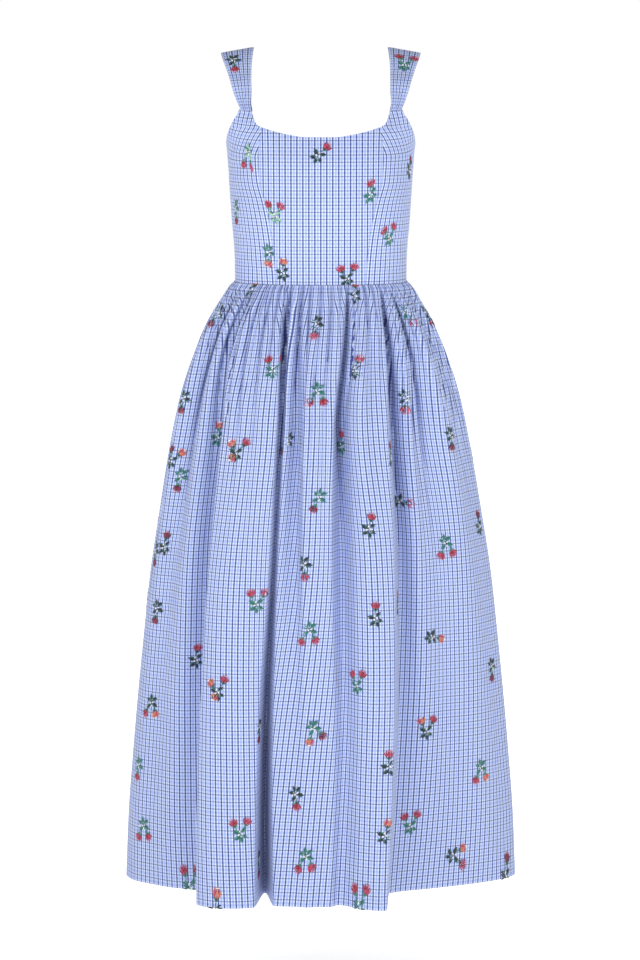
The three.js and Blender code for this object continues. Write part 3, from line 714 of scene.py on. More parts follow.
@dataclass
class ClothGrid:
    """A panel as a grid of points of its outer face, in millimetres, and the flat cloth at each.

    The reach is how many grid points on each side are smoothed over where a sprig is laid out, and
    the sharp angle, in degrees, is that of the edges round the rim.
    """

    name: str
    points: Array
    flat: Array
    thickness: float = CLOTH_THICKNESS
    reach: int = 6
    sharp_angle: float = 60
    normals: Array = field(init=False)

    def __post_init__(self) -> None:
        """Work out the normals."""
        self.renew_normals()

    def renew_normals(self) -> None:
        """Work out the normals from the grid and turn them away from the dress's axis."""
        down, along = np.gradient(self.points, axis=(0, 1))
        cross = np.cross(along, down)
        cross /= np.maximum(np.linalg.norm(cross, axis=-1, keepdims=True), TINY)
        rows, columns = self.points.shape[:2]
        middle = cross[rows // 2, columns // 2]
        outward = self.points[rows // 2, columns // 2] * (1, 1, 0)
        self.normals = cross if np.dot(middle, outward) > 0 else -cross

    def push(self, amount: Array) -> None:
        """Move the cloth along its normals by an amount for each point, and renew the normals."""
        self.points = self.points + self.normals * amount[..., None]
        self.renew_normals()

    def place(self, row: float, column: float, across: Array, up: Array, lift: Array) -> Array:
        """Return points on or above the cloth near one place of the grid.

        Args:
            row: the place's row.
            column: the place's column.
            across: distances to the viewer's right of the outer face, in millimetres.
            up: distances up the cloth.
            lift: heights above the outer face.

        Returns:
            Points with a last axis of x, y and z.
        """
        rows, columns = self.points.shape[:2]
        r = int(np.clip(round(row), 1, rows - 2))
        c = int(np.clip(round(column), 1, columns - 2))
        above, beneath = max(r - self.reach, 0), min(r + self.reach, rows - 1)
        left, right = max(c - self.reach, 0), min(c + self.reach, columns - 1)
        down_step = self.points[beneath, c] - self.points[above, c]
        side_step = self.points[r, right] - self.points[r, left]
        viewer_right = np.cross(down_step * np.sign(-down_step[2]), self.normals[r, c])
        right_sign = np.sign(np.dot(side_step, viewer_right)) or 1.0
        at_row = self.walk(self.points[:, c], row, up * np.sign(down_step[2]))
        at_column = self.walk(self.points[r], column, -across * right_sign)
        return self.sample(self.points, at_row, at_column) + self.sample(
            self.normals, at_row, at_column) * lift[..., None]

    def walk(self, line: Array, start: float, distance: Array) -> Array:
        """Walk along a grid line with its finest waves smoothed out.

        Args:
            line: the grid line's points.
            start: the place on it to start from, in grid points.
            distance: signed distances to walk, in millimetres.

        Returns:
            The places arrived at, in grid points.
        """
        padded = np.pad(line, ((self.reach, self.reach), (0, 0)), mode="edge")
        count = 2 * self.reach + 1
        weights = np.full(count, 1 / count)
        smooth = np.stack([np.convolve(padded[:, axis], weights, "valid") for axis in range(3)], -1)
        length = length_along(smooth, 0)
        index = np.arange(len(line))
        return np.interp(np.interp(start, index, length) + distance, length, index)

    @staticmethod
    def sample(values: Array, row: Array, column: Array) -> Array:
        """Read a grid of values between its points.

        Args:
            values: the grid.
            row: the rows, which need not be whole.
            column: the columns.

        Returns:
            The values there.
        """
        rows, columns = values.shape[:2]
        row = np.clip(row, 0, rows - 1 - GRID_MARGIN)
        column = np.clip(column, 0, columns - 1 - GRID_MARGIN)
        r = row.astype(int)
        c = column.astype(int)
        s = (row - r)[..., None]
        t = (column - c)[..., None]
        top = values[r, c] * (1 - t) + values[r, c + 1] * t
        bottom = values[r + 1, c] * (1 - t) + values[r + 1, c + 1] * t
        return top * (1 - s) + bottom * s

    def build(self, material: bpy.types.Material) -> bpy.types.Object:
        """Make the closed thin shell, with the flat cloth as its UV map.

        Args:
            material: the finish.

        Returns:
            The piece: outer face, inner face and rim.
        """
        rows, columns = self.points.shape[:2]
        inner = self.points - self.normals * self.thickness
        places = np.concatenate([self.points.reshape(-1, 3), inner.reshape(-1, 3)]) * MM
        count = rows * columns
        index = np.arange(count).reshape(rows, columns)
        under = index + count
        outer_faces = np.stack([index[:-1, :-1], index[:-1, 1:], index[1:, 1:], index[1:, :-1]], -1)
        inner_faces = np.stack([under[:-1, :-1], under[1:, :-1], under[1:, 1:], under[:-1, 1:]], -1)
        loop = np.concatenate([index[0, :-1], index[:-1, -1], index[-1, :0:-1], index[:0:-1, 0]])
        after = np.roll(loop, -1)
        rim = np.stack([after, loop, loop + count, after + count], -1)
        faces = np.concatenate([outer_faces.reshape(-1, 4), inner_faces.reshape(-1, 4), rim])
        first = self.points[1, 0] - self.points[0, 0]
        second = self.points[0, 1] - self.points[0, 0]
        if np.dot(np.cross(second, first), self.normals[0, 0]) < 0:
            faces = faces[:, ::-1]
        mesh = bpy.data.meshes.new(self.name)
        mesh.from_pydata(places.tolist(), [], faces.tolist())
        cloth = np.concatenate([self.flat.reshape(-1, 2), self.flat.reshape(-1, 2)]) * MM
        corner = np.empty(len(mesh.loops), np.int32)
        mesh.loops.foreach_get("vertex_index", corner)
        mesh.uv_layers.new(name="cloth").data.foreach_set("uv", cloth[corner].ravel())
        mesh.polygons.foreach_set("use_smooth", np.ones(len(mesh.polygons), bool))
        mesh.set_sharp_from_angle(angle=math.radians(self.sharp_angle))
        mesh.materials.append(material)
        piece = bpy.data.objects.new(self.name, mesh)
        bpy.context.scene.collection.objects.link(piece)
        return piece


class Crease(NamedTuple):
    """A soft trough (or ridge, where depth is below 0) between two places seen from the front."""

    across: float
    height: float
    end_across: float
    end_height: float
    depth: float
    width: float


def crease_depth(points: Array, creases: Sequence[Crease]) -> Array:
    """Work out how creases move the cloth.

    Args:
        points: the panel's points.
        creases: the creases, which fade towards both ends.

    Returns:
        How far each point is pushed out, which is below 0 in a trough.
    """
    out = np.zeros(points.shape[:2])
    flat = points[..., [0, 2]]
    for crease in creases:
        start = np.array([crease.across, crease.height])
        way = np.array([crease.end_across, crease.end_height]) - start
        share = np.clip(((flat - start) @ way) / (way @ way), 0, 1)
        gap = np.linalg.norm(flat - start - share[..., None] * way, axis=-1)
        fade = np.sin(np.pi * (CREASE_END + (1 - 2 * CREASE_END) * share)) ** CREASE_FADE
        out -= crease.depth * fade * np.exp(-((gap / crease.width) ** 2))
    return out


def seam_dip(distance: Array, depth: float = 0.9, width: float = 2.2) -> Array:
    """Return how far the cloth turns in towards a seam at a distance from it."""
    return -depth * np.exp(-((distance / width) ** 2))


@dataclass
class Bodice:
    """The fitted bodice: a centre front, two side fronts and two backs, on the plain form.

    On a side front the check fans out above fan_start, eased in by a share over fan_length and bowed
    over bow_spread. It leans towards the shaped seam by a share that grows over lean_growth, and its
    first line lies at the offset from the seam.
    """

    rows: int = 60
    columns: int = 64
    top_rounds: int = 6
    fan_start: float = -150
    fan_length: float = 118
    bow_spread: float = 25
    ease: float = 0.35
    lean: float = 0.28
    lean_growth: float = 80
    offset: float = 4.2
    side_gap: float = 0.0003
    creases: tuple[Crease, ...] = (
        Crease(-101, -91, -99, -128, 1.1, 2.0),
        Crease(-105, -91, -108, -132, 1.2, 2.2),
        Crease(-109, -92, -117, -126, 0.9, 2.0),
        Crease(101, -91, 100, -130, 1.1, 2.0),
        Crease(105, -91, 109, -128, 1.2, 2.2),
        Crease(109, -92, 118, -128, 0.8, 2.0),
        Crease(-118, -300, -84, -318, 0.8, 7.0),
        Crease(-122, -262, -96, -276, 0.7, 8.0),
        Crease(120, -268, 92, -284, 0.8, 8.0),
        Crease(118, -306, 88, -320, 0.7, 6.0),
        Crease(-40, -312, 20, -318, 0.6, 6.0),
        Crease(-124, -170, -104, -160, 0.7, 7.0),
        Crease(125, -176, 104, -164, 0.6, 7.0),
    )
    back_creases: tuple[Crease, ...] = (
        Crease(-106, -92, -104, -134, 1.1, 2.1),
        Crease(-112, -92, -116, -130, 1.0, 2.0),
        Crease(107, -92, 106, -132, 1.1, 2.1),
        Crease(112, -92, 118, -128, 1.0, 2.0),
        Crease(-100, -280, -40, -296, 0.9, 8.0),
        Crease(104, -262, 50, -282, 0.8, 9.0),
        Crease(-72, -310, -12, -316, 0.7, 6.0),
        Crease(20, -304, 84, -314, 0.7, 6.0),
        Crease(-58, -331, -56, -236, 0.8, 1.8),
        Crease(58, -331, 56, -236, 0.8, 1.8),
    )

    def seam_turn(self, height: Array) -> Array:
        """Follow the shaped front seam.

        Args:
            height: the heights.

        Returns:
            The seam's turn from the centre front at each height, in radians.
        """
        across = Curve([p.height for p in FRONT_SEAM], [p.across for p in FRONT_SEAM])(height)
        lower = np.arcsin(across / FORM.side(height))
        return np.where(height > SEAM_TOP_HEIGHT, math.radians(SEAM_TOP_TURN), lower)

    def centre_front(self) -> ClothGrid:
        """Work out the centre front, from the waist seam up to the neckline, between the shaped seams.

        Returns:
            The panel.
        """
        neckline = Curve([p.across for p in NECKLINE], [p.height for p in NECKLINE])
        across = np.linspace(-1, 1, 2 * self.columns + 1)
        top = np.full_like(across, NECKLINE[0].height)
        for _ in range(self.top_rounds):
            top = neckline(FORM.side(top) * np.sin(self.seam_turn(top) * np.abs(across)))
        up = np.linspace(1, 0, self.rows)[:, None]
        height = WAIST + SEAM_GAP / 2 + (top - WAIST) * up
        seam = self.seam_turn(height)
        turn = across * (seam - SEAM_GAP / 2 / FORM.side(height))
        points = FORM.at(Half.FRONT, turn, height)
        from_middle = FORM.distance(Half.FRONT, np.zeros_like(turn), turn, height) * np.sign(turn)
        to_seam = FORM.distance(Half.FRONT, np.abs(turn), seam, height)
        flat = np.stack([from_middle, height], -1)
        grid = ClothGrid("bodice_centre_front_cloth", points, flat, reach=1)
        grid.push(crease_depth(points, self.creases) + seam_dip(to_seam))
        return grid

    def fanned(self, name: str, half: Half, side: int, top_edge: Sequence[EdgePoint],
               inner_seam: Callable[[Array], Array], eased: bool) -> ClothGrid:
        """Work out a panel that fans from its waist edge to a top edge with corners.

        Args:
            name: the piece's name.
            half: front or back.
            side: -1 for the wearer's right, 1 for the left.
            top_edge: the top edge from the inner seam to the side seam.
            inner_seam: the inner seam's turn at a height.
            eased: True where the cloth is eased in towards the strap.

        Returns:
            The panel.
        """
        index = np.arange(len(top_edge))
        column = np.linspace(0, len(top_edge) - 1, self.columns)
        top_turn = Curve(index, [p.turn for p in top_edge])(column)
        top_height = Curve(index, [p.height for p in top_edge])(column)
        top_height = top_height - np.where(top_height > STRAP_JOIN - SEAM_GAP, SEAM_GAP / 2, 0)
        up = np.linspace(1, 0, self.rows)[:, None]
        height = WAIST + SEAM_GAP / 2 + (top_height - WAIST) * up
        start = top_edge[0].turn
        share = (column / column[-1]) * (1 - up) + (top_turn - start) / (SIDE_TURN - start) * up
        seam = inner_seam(height)
        inner = seam + SEAM_GAP / 2 / FORM.side(height)
        turn = inner + (math.radians(SIDE_TURN) - self.side_gap - inner) * share
        points = FORM.at(half, side * turn, height)
        from_seam = FORM.distance(half, inner, turn, height)
        to_side = FORM.distance(half, turn, np.full_like(turn, math.radians(SIDE_TURN)), height)
        above = np.maximum(height - self.fan_start, 0) if eased else 0 * height
        start, end = self.fan_start - self.bow_spread, self.fan_start + self.bow_spread
        bow = smooth_step(height, start, end) if eased else 0 * height
        lean = self.lean * above * (1 + above / self.lean_growth)
        offset = self.offset if half is Half.FRONT else 0
        flat = np.stack([
            side * (from_seam * (1 + self.ease * above / self.fan_length) + lean + offset),
            height - self.ease * bow * from_seam**2 / (2 * self.fan_length),
        ], -1)
        grid = ClothGrid(name, points, flat, reach=1)
        creases = self.creases if half is Half.FRONT else self.back_creases
        grid.push(crease_depth(points, creases) + seam_dip(from_seam) + seam_dip(to_side))
        return grid

    def grids(self) -> dict[str, ClothGrid]:
        """Work out every panel of the bodice.

        Returns:
            The panels by the name of the node that each stands for.
        """
        found = {"bodice_centre_front": self.centre_front()}
        for word, side in SIDES:
            found[f"bodice_side_front_{word}"] = self.fanned(
                f"bodice_side_front_{word}_cloth", Half.FRONT, side, SIDE_FRONT_TOP, self.seam_turn, True)
            found[f"bodice_back_{word}"] = self.fanned(
                f"bodice_back_{word}_cloth", Half.BACK, side, BACK_TOP, np.zeros_like, False)
        return found


@dataclass
class Strap:
    """A wide shoulder strap, gathered to a narrow end front and back.

    Its little gathers rise over wave_length and are full wave_end short of the join. They sway across
    the strap, and its edges are turned down by edge_dip.
    """

    word: str
    side: int
    top_drop: float = 4.0
    front_reach: float = 78.3
    back_reach: float = 66
    arch: float = 1.8
    back_shift: float = 3.4
    tilt: float = 10
    merge_start: float = 0.55
    waves: int = 4
    wave_depth: float = 0.75
    wave_length: float = 46
    wave_end: float = 4
    sway: float = 0.042
    sway_turns: float = 3
    edge_dip: float = 0.5
    edge_width: float = 1.5
    rows: int = 90
    columns: int = 41
    cloth_width: float = 49

    def grid(self) -> ClothGrid:
        """Work out the strap.

        Returns:
            The panel, with rows from the front join over the shoulder to the back join.
        """
        way = np.linspace(-1, 1, self.rows)[:, None]
        across = np.linspace(-1, 1, self.columns)[None, :]
        join_drop = -STRAP_JOIN - SEAM_GAP / 2
        drop = self.top_drop + (join_drop - self.top_drop) * np.abs(way) ** self.arch
        drop = np.broadcast_to(drop, (self.rows, self.columns))
        centre = Curve([p.drop for p in STRAP], [p.centre for p in STRAP])(drop)
        half = Curve([p.drop for p in STRAP], [p.half for p in STRAP])(drop)
        x = centre + np.maximum(way, 0) * self.back_shift + across * half
        y = np.where(way < 0, way * self.front_reach, way * self.back_reach) * np.ones_like(x)
        turn = np.arcsin(x / FORM.side(-drop))
        on_front = FORM.at(Half.FRONT, turn, -drop)[..., 1]
        on_back = FORM.at(Half.BACK, turn, -drop)[..., 1]
        joined = smooth_step(np.abs(way), self.merge_start, 1)
        tilt = -across * half * math.tan(math.radians(self.tilt)) * (1 - joined)
        y = y * (1 - joined) + np.where(way < 0, on_front, on_back) * joined
        points = np.stack([self.side * x, y, -drop + tilt], -1)
        along = length_along(points, 0)
        flat = np.stack([self.side * across * self.cloth_width / 2 * np.ones_like(x), -along], -1)
        grid = ClothGrid(f"strap_{self.word}_cloth", points, flat, STRAP_THICKNESS)
        if grid.normals[self.rows // 2, self.columns // 2, 2] < 0:
            grid.normals = -grid.normals
        pinched = smooth_step(drop, -STRAP_JOIN - self.wave_length, -STRAP_JOIN - self.wave_end)
        swayed = across + self.sway * np.sin(self.sway_turns * way + self.side)
        wave = np.cos(swayed * math.pi * self.waves) * self.wave_depth * pinched
        from_edge = (1 - np.abs(across)) * half
        grid.push(wave - self.edge_dip * np.exp(-((from_edge / self.edge_width) ** 2)))
        return grid


# The skirt


class GatherSize(NamedTuple):
    """One size of gather.

    The height is a share of its width. The power rounds its arch, and the level is where the arch
    crosses the plain ring. It rises from the least share to the full height over two distances below
    the waist seam, its own depth and length are drawn between two values each, and it stays between
    the lowest and the highest.
    """

    height: float
    power: float
    level: float
    least: float
    rise: tuple[float, float]
    depths: tuple[float, float]
    lengths: tuple[float, float]
    lowest: float
    highest: float


FINE_GATHER = GatherSize(0.92, 0.5, 0.77, 0.85, (0, 14), (0.65, 1.25), (60, 230), -math.inf, math.inf)
WIDE_GATHER = GatherSize(0.52, 0.4, 0.8, 0, (4, 60), (0.5, 1.3), (110, 290), -11, 5)


def cell(edges: Array, share: Array) -> tuple[Array, Array, Array]:
    """Find the cell that each place lies in.

    Args:
        edges: the cells' edges, rising.
        share: the places.

    Returns:
        The cell's number, the place in it from -1 to 1, and the cell's width.
    """
    number = np.clip(np.searchsorted(edges, share, side="right") - 1, 0, len(edges) - 2)
    width = edges[number + 1] - edges[number]
    return number, 2 * (share - edges[number]) / width - 1, width


def staircase(edges: Array, share: Array, power: float = 3.0) -> Array:
    """Share out the cloth that is hidden in troughs: level on a fold, steep in a trough.

    Args:
        edges: the places of the troughs.
        share: the places to look at.
        power: how narrow the troughs are.

    Returns:
        The share of hidden cloth up to each place.
    """
    number, place, width = cell(edges, share)
    middle = (edges[number + 1] + edges[number]) / 2
    return middle + width / 2 * np.sign(place) * np.abs(place) ** power


class GatherRow:
    """Gathers of one size side by side, from the right side seam to the left."""

    def __init__(self, size: GatherSize, edges: Array, rng: np.random.Generator) -> None:
        """Draw each gather's own depth and length.

        Args:
            size: the size of gather.
            edges: the gathers' edges, from 0 to 1.
            rng: the source of the draws.
        """
        self.size = size
        self.edges = edges
        self.depth = rng.uniform(*size.depths, len(edges))
        self.length = rng.uniform(*size.lengths, len(edges))

    def puff(self, share: Array, below: Array, ring: Array) -> Array:
        """Work out how far the gathers stand out.

        Args:
            share: the share of the ring's length.
            below: the distance below the waist seam.
            ring: the length of the ring.

        Returns:
            The distance out of the plain ring, around 0.
        """
        size = self.size
        number, place, width = cell(self.edges, share)
        arch = np.maximum(np.cos(place * np.pi / 2), 0) ** size.power - size.level
        rise = size.least + (1 - size.least) * smooth_step(below, *size.rise)
        fade = np.exp(-((below / self.length[number]) ** 2))
        out = size.height * width * ring * self.depth[number] * arch * rise * fade
        return np.clip(out, size.lowest, size.highest)


@dataclass
class Gathers:
    """Uneven gathers of one half of the skirt: fine ones, and wide ones that take in a few each."""

    seed: int
    count: int
    keep: Sequence[float]
    widths: tuple[float, float] = (0.6, 1.5)
    merge: float = 3.4
    fine: GatherRow = field(init=False)
    wide: GatherRow = field(init=False)

    def __post_init__(self) -> None:
        """Draw both rows, with an edge at each place that is kept for a trough of the table."""
        rng = np.random.default_rng(self.seed)
        widths = rng.uniform(*self.widths, self.count)
        edges = np.concatenate([[0], np.cumsum(widths) / widths.sum()])
        for share in self.keep:
            edges[np.abs(edges[1:-1] - share).argmin() + 1] = share
        edges = np.unique(edges)
        picks = np.cumsum(1 + (rng.random(len(edges)) * self.merge).astype(int))
        chosen = {0, len(edges) - 1, *picks[picks < len(edges) - 2].tolist()}
        chosen |= {int(np.abs(edges - share).argmin()) for share in self.keep}
        self.fine = GatherRow(FINE_GATHER, edges, rng)
        self.wide = GatherRow(WIDE_GATHER, edges[sorted(chosen)], rng)

    def puff(self, share: Array, below: Array, ring: Array) -> Array:
        """Return how far both rows stand out, at shares of a ring of a length, below the waist seam."""
        return self.fine.puff(share, below, ring) + self.wide.puff(share, below, ring)


class Slot(NamedTuple):
    """The narrow slot in which a trough of the table starts, with its depth in millimetres."""

    fold: str
    depth: float


@dataclass
class SkirtHalf:
    """The front or the back of the skirt as one sheet, from the right side seam to the left.

    Each pair is two distances between which something changes: slots start and end and the spare
    cloth moves to wider gathers and then to the troughs, all by the distance below the waist seam.
    The gathers are calm near the side seams and the centre back seam. Their troughs keep the places
    that they have at the settled height.
    """

    half: Half
    folds: Sequence[Fold]
    seed: int
    rows: int
    columns: int
    slots: tuple[Slot, ...]
    gathers: int = 40
    samples: int = 1440
    settled: float = -400
    row_power: float = 1.45
    lean_power: int = 3
    slot_width: float = 3.2
    slot_start: tuple[float, float] = (4, 40)
    slot_end: tuple[float, float] = (150, 380)
    side_calm: tuple[float, float] = (0, 12)
    centre_calm: tuple[float, float] = (4, 20)
    fine_end: tuple[float, float] = (10, 190)
    deep_start: tuple[float, float] = (180, 460)
    centre_share: Array = field(init=False)

    def ring(self, height: float) -> tuple[Array, Array, Array]:
        """Work out the folded ring at a height.

        Args:
            height: the height.

        Returns:
            The points, the length run so far at each, and their turns in degrees.
        """
        degrees = np.linspace(-SIDE_TURN, SIDE_TURN, self.samples + 1)
        turn = np.radians(degrees)
        out = fold_profile(self.folds, height)(degrees) - self.slot_depths(degrees, height)
        sideways = np.sin(turn) * np.abs(np.sin(turn)) ** self.lean_power
        lean = np.stack([sideways, self.half.value * np.cos(turn)], -1)
        lean /= np.linalg.norm(lean, axis=-1, keepdims=True)
        points = FORM.at(self.half, turn, np.full_like(turn, height))
        points[:, :2] += lean * out[:, None]
        return points, length_along(points, 0), degrees

    def trough_turns(self, height: float) -> list[float]:
        """Return the turns in degrees of the troughs with a slot, at a height."""
        lines = {fold.name: fold for fold in self.folds}
        return [lines[slot.fold].at(height)[0] for slot in self.slots]

    def trough_places(self, height: float) -> Array:
        """Return where those troughs lie at a height, from 0 at the right side seam to 1 at the left."""
        turns = np.array([-SIDE_TURN, *self.trough_turns(height), SIDE_TURN])
        return (turns + SIDE_TURN) / (2 * SIDE_TURN)

    def slot_depths(self, degrees: Array, height: float) -> Array:
        """Work out the narrow slots in which the main troughs start under the waist.

        Args:
            degrees: the turns.
            height: the height.

        Returns:
            The slots' depth at each turn.
        """
        below = WAIST - height
        reach = smooth_step(below, *self.slot_start) * (1 - smooth_step(below, *self.slot_end))
        depth = np.zeros_like(degrees)
        for slot, turn in zip(self.slots, self.trough_turns(height)):
            away = np.radians(degrees - turn) * FORM.side(height)
            depth += slot.depth * np.exp(-((away / self.slot_width) ** 2)) * reach
        return depth

    def grid(self) -> ClothGrid:
        """Work out the whole half as one grid.

        Returns:
            The panel, with rows from the waist seam down to the hem.
        """
        down = np.linspace(0, 1, self.rows) ** self.row_power
        heights = WAIST - SEAM_GAP / 2 + (HEM - WAIST) * down
        heights[-1] = HEM
        share = np.linspace(0, 1, self.columns)
        points = np.empty((self.rows, self.columns, 3))
        total = np.empty((self.rows, 1))
        plain = np.empty((self.rows, 1))
        steady = np.empty((self.rows, self.columns))
        settled = self.trough_places(self.settled)
        self.centre_share = np.empty((self.rows, 1))
        for r, height in enumerate(heights):
            ring, run, degrees = self.ring(height)
            unfolded = FORM.at(self.half, np.radians(degrees), np.full_like(degrees, height))
            total[r] = run[-1]
            plain[r] = length_along(unfolded, 0)[-1]
            self.centre_share[r] = run[self.samples // 2] / run[-1]
            place = (np.interp(share * run[-1], run, degrees) + SIDE_TURN) / (2 * SIDE_TURN)
            steady[r] = np.interp(place, self.trough_places(height), settled)
            for axis in range(3):
                points[r, :, axis] = np.interp(share * run[-1], run, ring[:, axis])
        gathers = Gathers(self.seed, self.gathers, settled[1:-1])
        below = (WAIST - heights)[:, None]
        calm = smooth_step(np.minimum(share, 1 - share) * total, *self.side_calm)
        if self.half is Half.BACK:
            from_centre = np.abs(share - self.centre_share) * total
            calm = calm * smooth_step(from_centre, *self.centre_calm)
        across = self.flat_across(gathers, below, share, steady, total)
        flat = np.stack([across, np.broadcast_to(-below, across.shape)], -1)
        grid = ClothGrid("skirt", points, flat)
        grid.normals[..., 2] = 0
        grid.normals /= np.linalg.norm(grid.normals, axis=-1, keepdims=True)
        grid.push(gathers.puff(steady, below, plain) * calm)
        log.info("skirt %s: cut %.0f mm wide, %.0f mm round at the waist",
                 self.half.name, total.max(), total[0, 0])
        return grid

    def flat_across(self, gathers: Gathers, below: Array, share: Array, steady: Array,
                    total: Array) -> Array:
        """Work out the place across the flat cloth, with the spare cloth in the troughs.

        Args:
            gathers: the half's gathers.
            below: the distance below the waist seam, by row.
            share: the share of the ring's length, by column.
            steady: the same share with each trough at one place in every row.
            total: the length of the folded ring, by row.

        Returns:
            The distance from the middle of the cloth at each point.
        """
        fine = 1 - smooth_step(below, *self.fine_end)
        deep = smooth_step(below, *self.deep_start)
        hidden = (fine * staircase(gathers.fine.edges, steady)
                  + (1 - fine) * (1 - deep) * staircase(gathers.wide.edges, steady)
                  + (1 - fine) * deep * staircase(self.trough_places(self.settled), steady))
        return share * total + (total.max() - total) * hidden - total.max() / 2


FRONT_SKIRT = SkirtHalf(
    Half.FRONT, FRONT_FOLDS, seed=231, rows=112, columns=397,
    slots=(
        Slot("soft side trough", 4),
        Slot("outer trough", 14),
        Slot("deep trough", 4),
        Slot("slanting crease", 11),
        Slot("long trough", 7),
        Slot("fading trough", 5),
        Slot("short side trough", 3),
    ),
)
BACK_SKIRT = SkirtHalf(
    Half.BACK, BACK_FOLDS, seed=23, rows=112, columns=397,
    slots=(
        Slot("side trough", 5),
        Slot("right trough", 9),
        Slot("left trough", 8),
        Slot("outer trough", 6),
        Slot("side dip", 3),
    ),
)


@dataclass
class Skirt:
    """The full gathered skirt: one front and two backs that meet at the centre back."""

    front: SkirtHalf
    back: SkirtHalf
    inset: float = SEAM_GAP / 2

    def grids(self) -> dict[str, ClothGrid]:
        """Work out the three panels.

        Returns:
            The panels by the name of the node that each stands for.
        """
        front = self.front.grid()
        whole = self.back.grid()
        found = {"skirt_front": ClothGrid("skirt_front_cloth", self.trimmed(front.points), front.flat)}
        part = np.linspace(0, 1, self.back.columns // 2 + 1)
        centre = self.back.centre_share
        shares = {"right": part * centre, "left": centre + part * (1 - centre)}
        for word, share in shares.items():
            column = share * (self.back.columns - 1)
            row = np.broadcast_to(np.arange(self.back.rows, dtype=float)[:, None], column.shape)
            points = self.trimmed(ClothGrid.sample(whole.points, row, column))
            flat = ClothGrid.sample(whole.flat, row, column)
            found[f"skirt_back_{word}"] = ClothGrid(f"skirt_back_{word}_cloth", points, flat)
        return found

    def trimmed(self, points: Array) -> Array:
        """Make room for the seams.

        Args:
            points: a panel's points.

        Returns:
            The points with the first and last columns moved in.
        """
        trimmed = points.copy()
        for column, beside in ((0, 1), (-1, -2)):
            way = points[:, beside] - points[:, column]
            trimmed[:, column] += way / np.linalg.norm(way, axis=-1, keepdims=True) * self.inset
        return trimmed


# Embroidery


class Thread(Enum):
    """The embroidery threads."""

    RED = "9a1f38"
    ROSE = "c03c60"
    PINK = "e08ba0"
    PEACH = "d58262"
    PLUM = "5a2043"
    DARK = "16222c"
    TEAL = "1f6e66"
    GREEN = "4b8f7c"
    PALE = "9cc7ae"
    WHITE = "f8f4f0"


class Leaf(Enum):
    """The greens of a sprig's leaves: the main one, and the one beside it."""

    DARK = (Thread.DARK, Thread.TEAL)
    TEAL = (Thread.TEAL, Thread.GREEN)
    PALE = (Thread.PALE, Thread.TEAL)


class Bloom(Enum):
    """The colours of a bud: petals, inner petals and heart."""

    RED = (Thread.RED, Thread.ROSE, Thread.PINK)
    ROSE = (Thread.ROSE, Thread.RED, Thread.PINK)
    PEACH = (Thread.PEACH, Thread.ROSE, Thread.WHITE)
    PLUM = (Thread.PLUM, Thread.RED, Thread.PINK)


class Sprig(NamedTuple):
    """A sprig at a place of the photograph's 640 by 960 frame; turn is where its buds point, clockwise."""

    across: float
    down: float
    buds: int
    turn: float
    leaf: Leaf = Leaf.TEAL
    bloom: Bloom = Bloom.RED


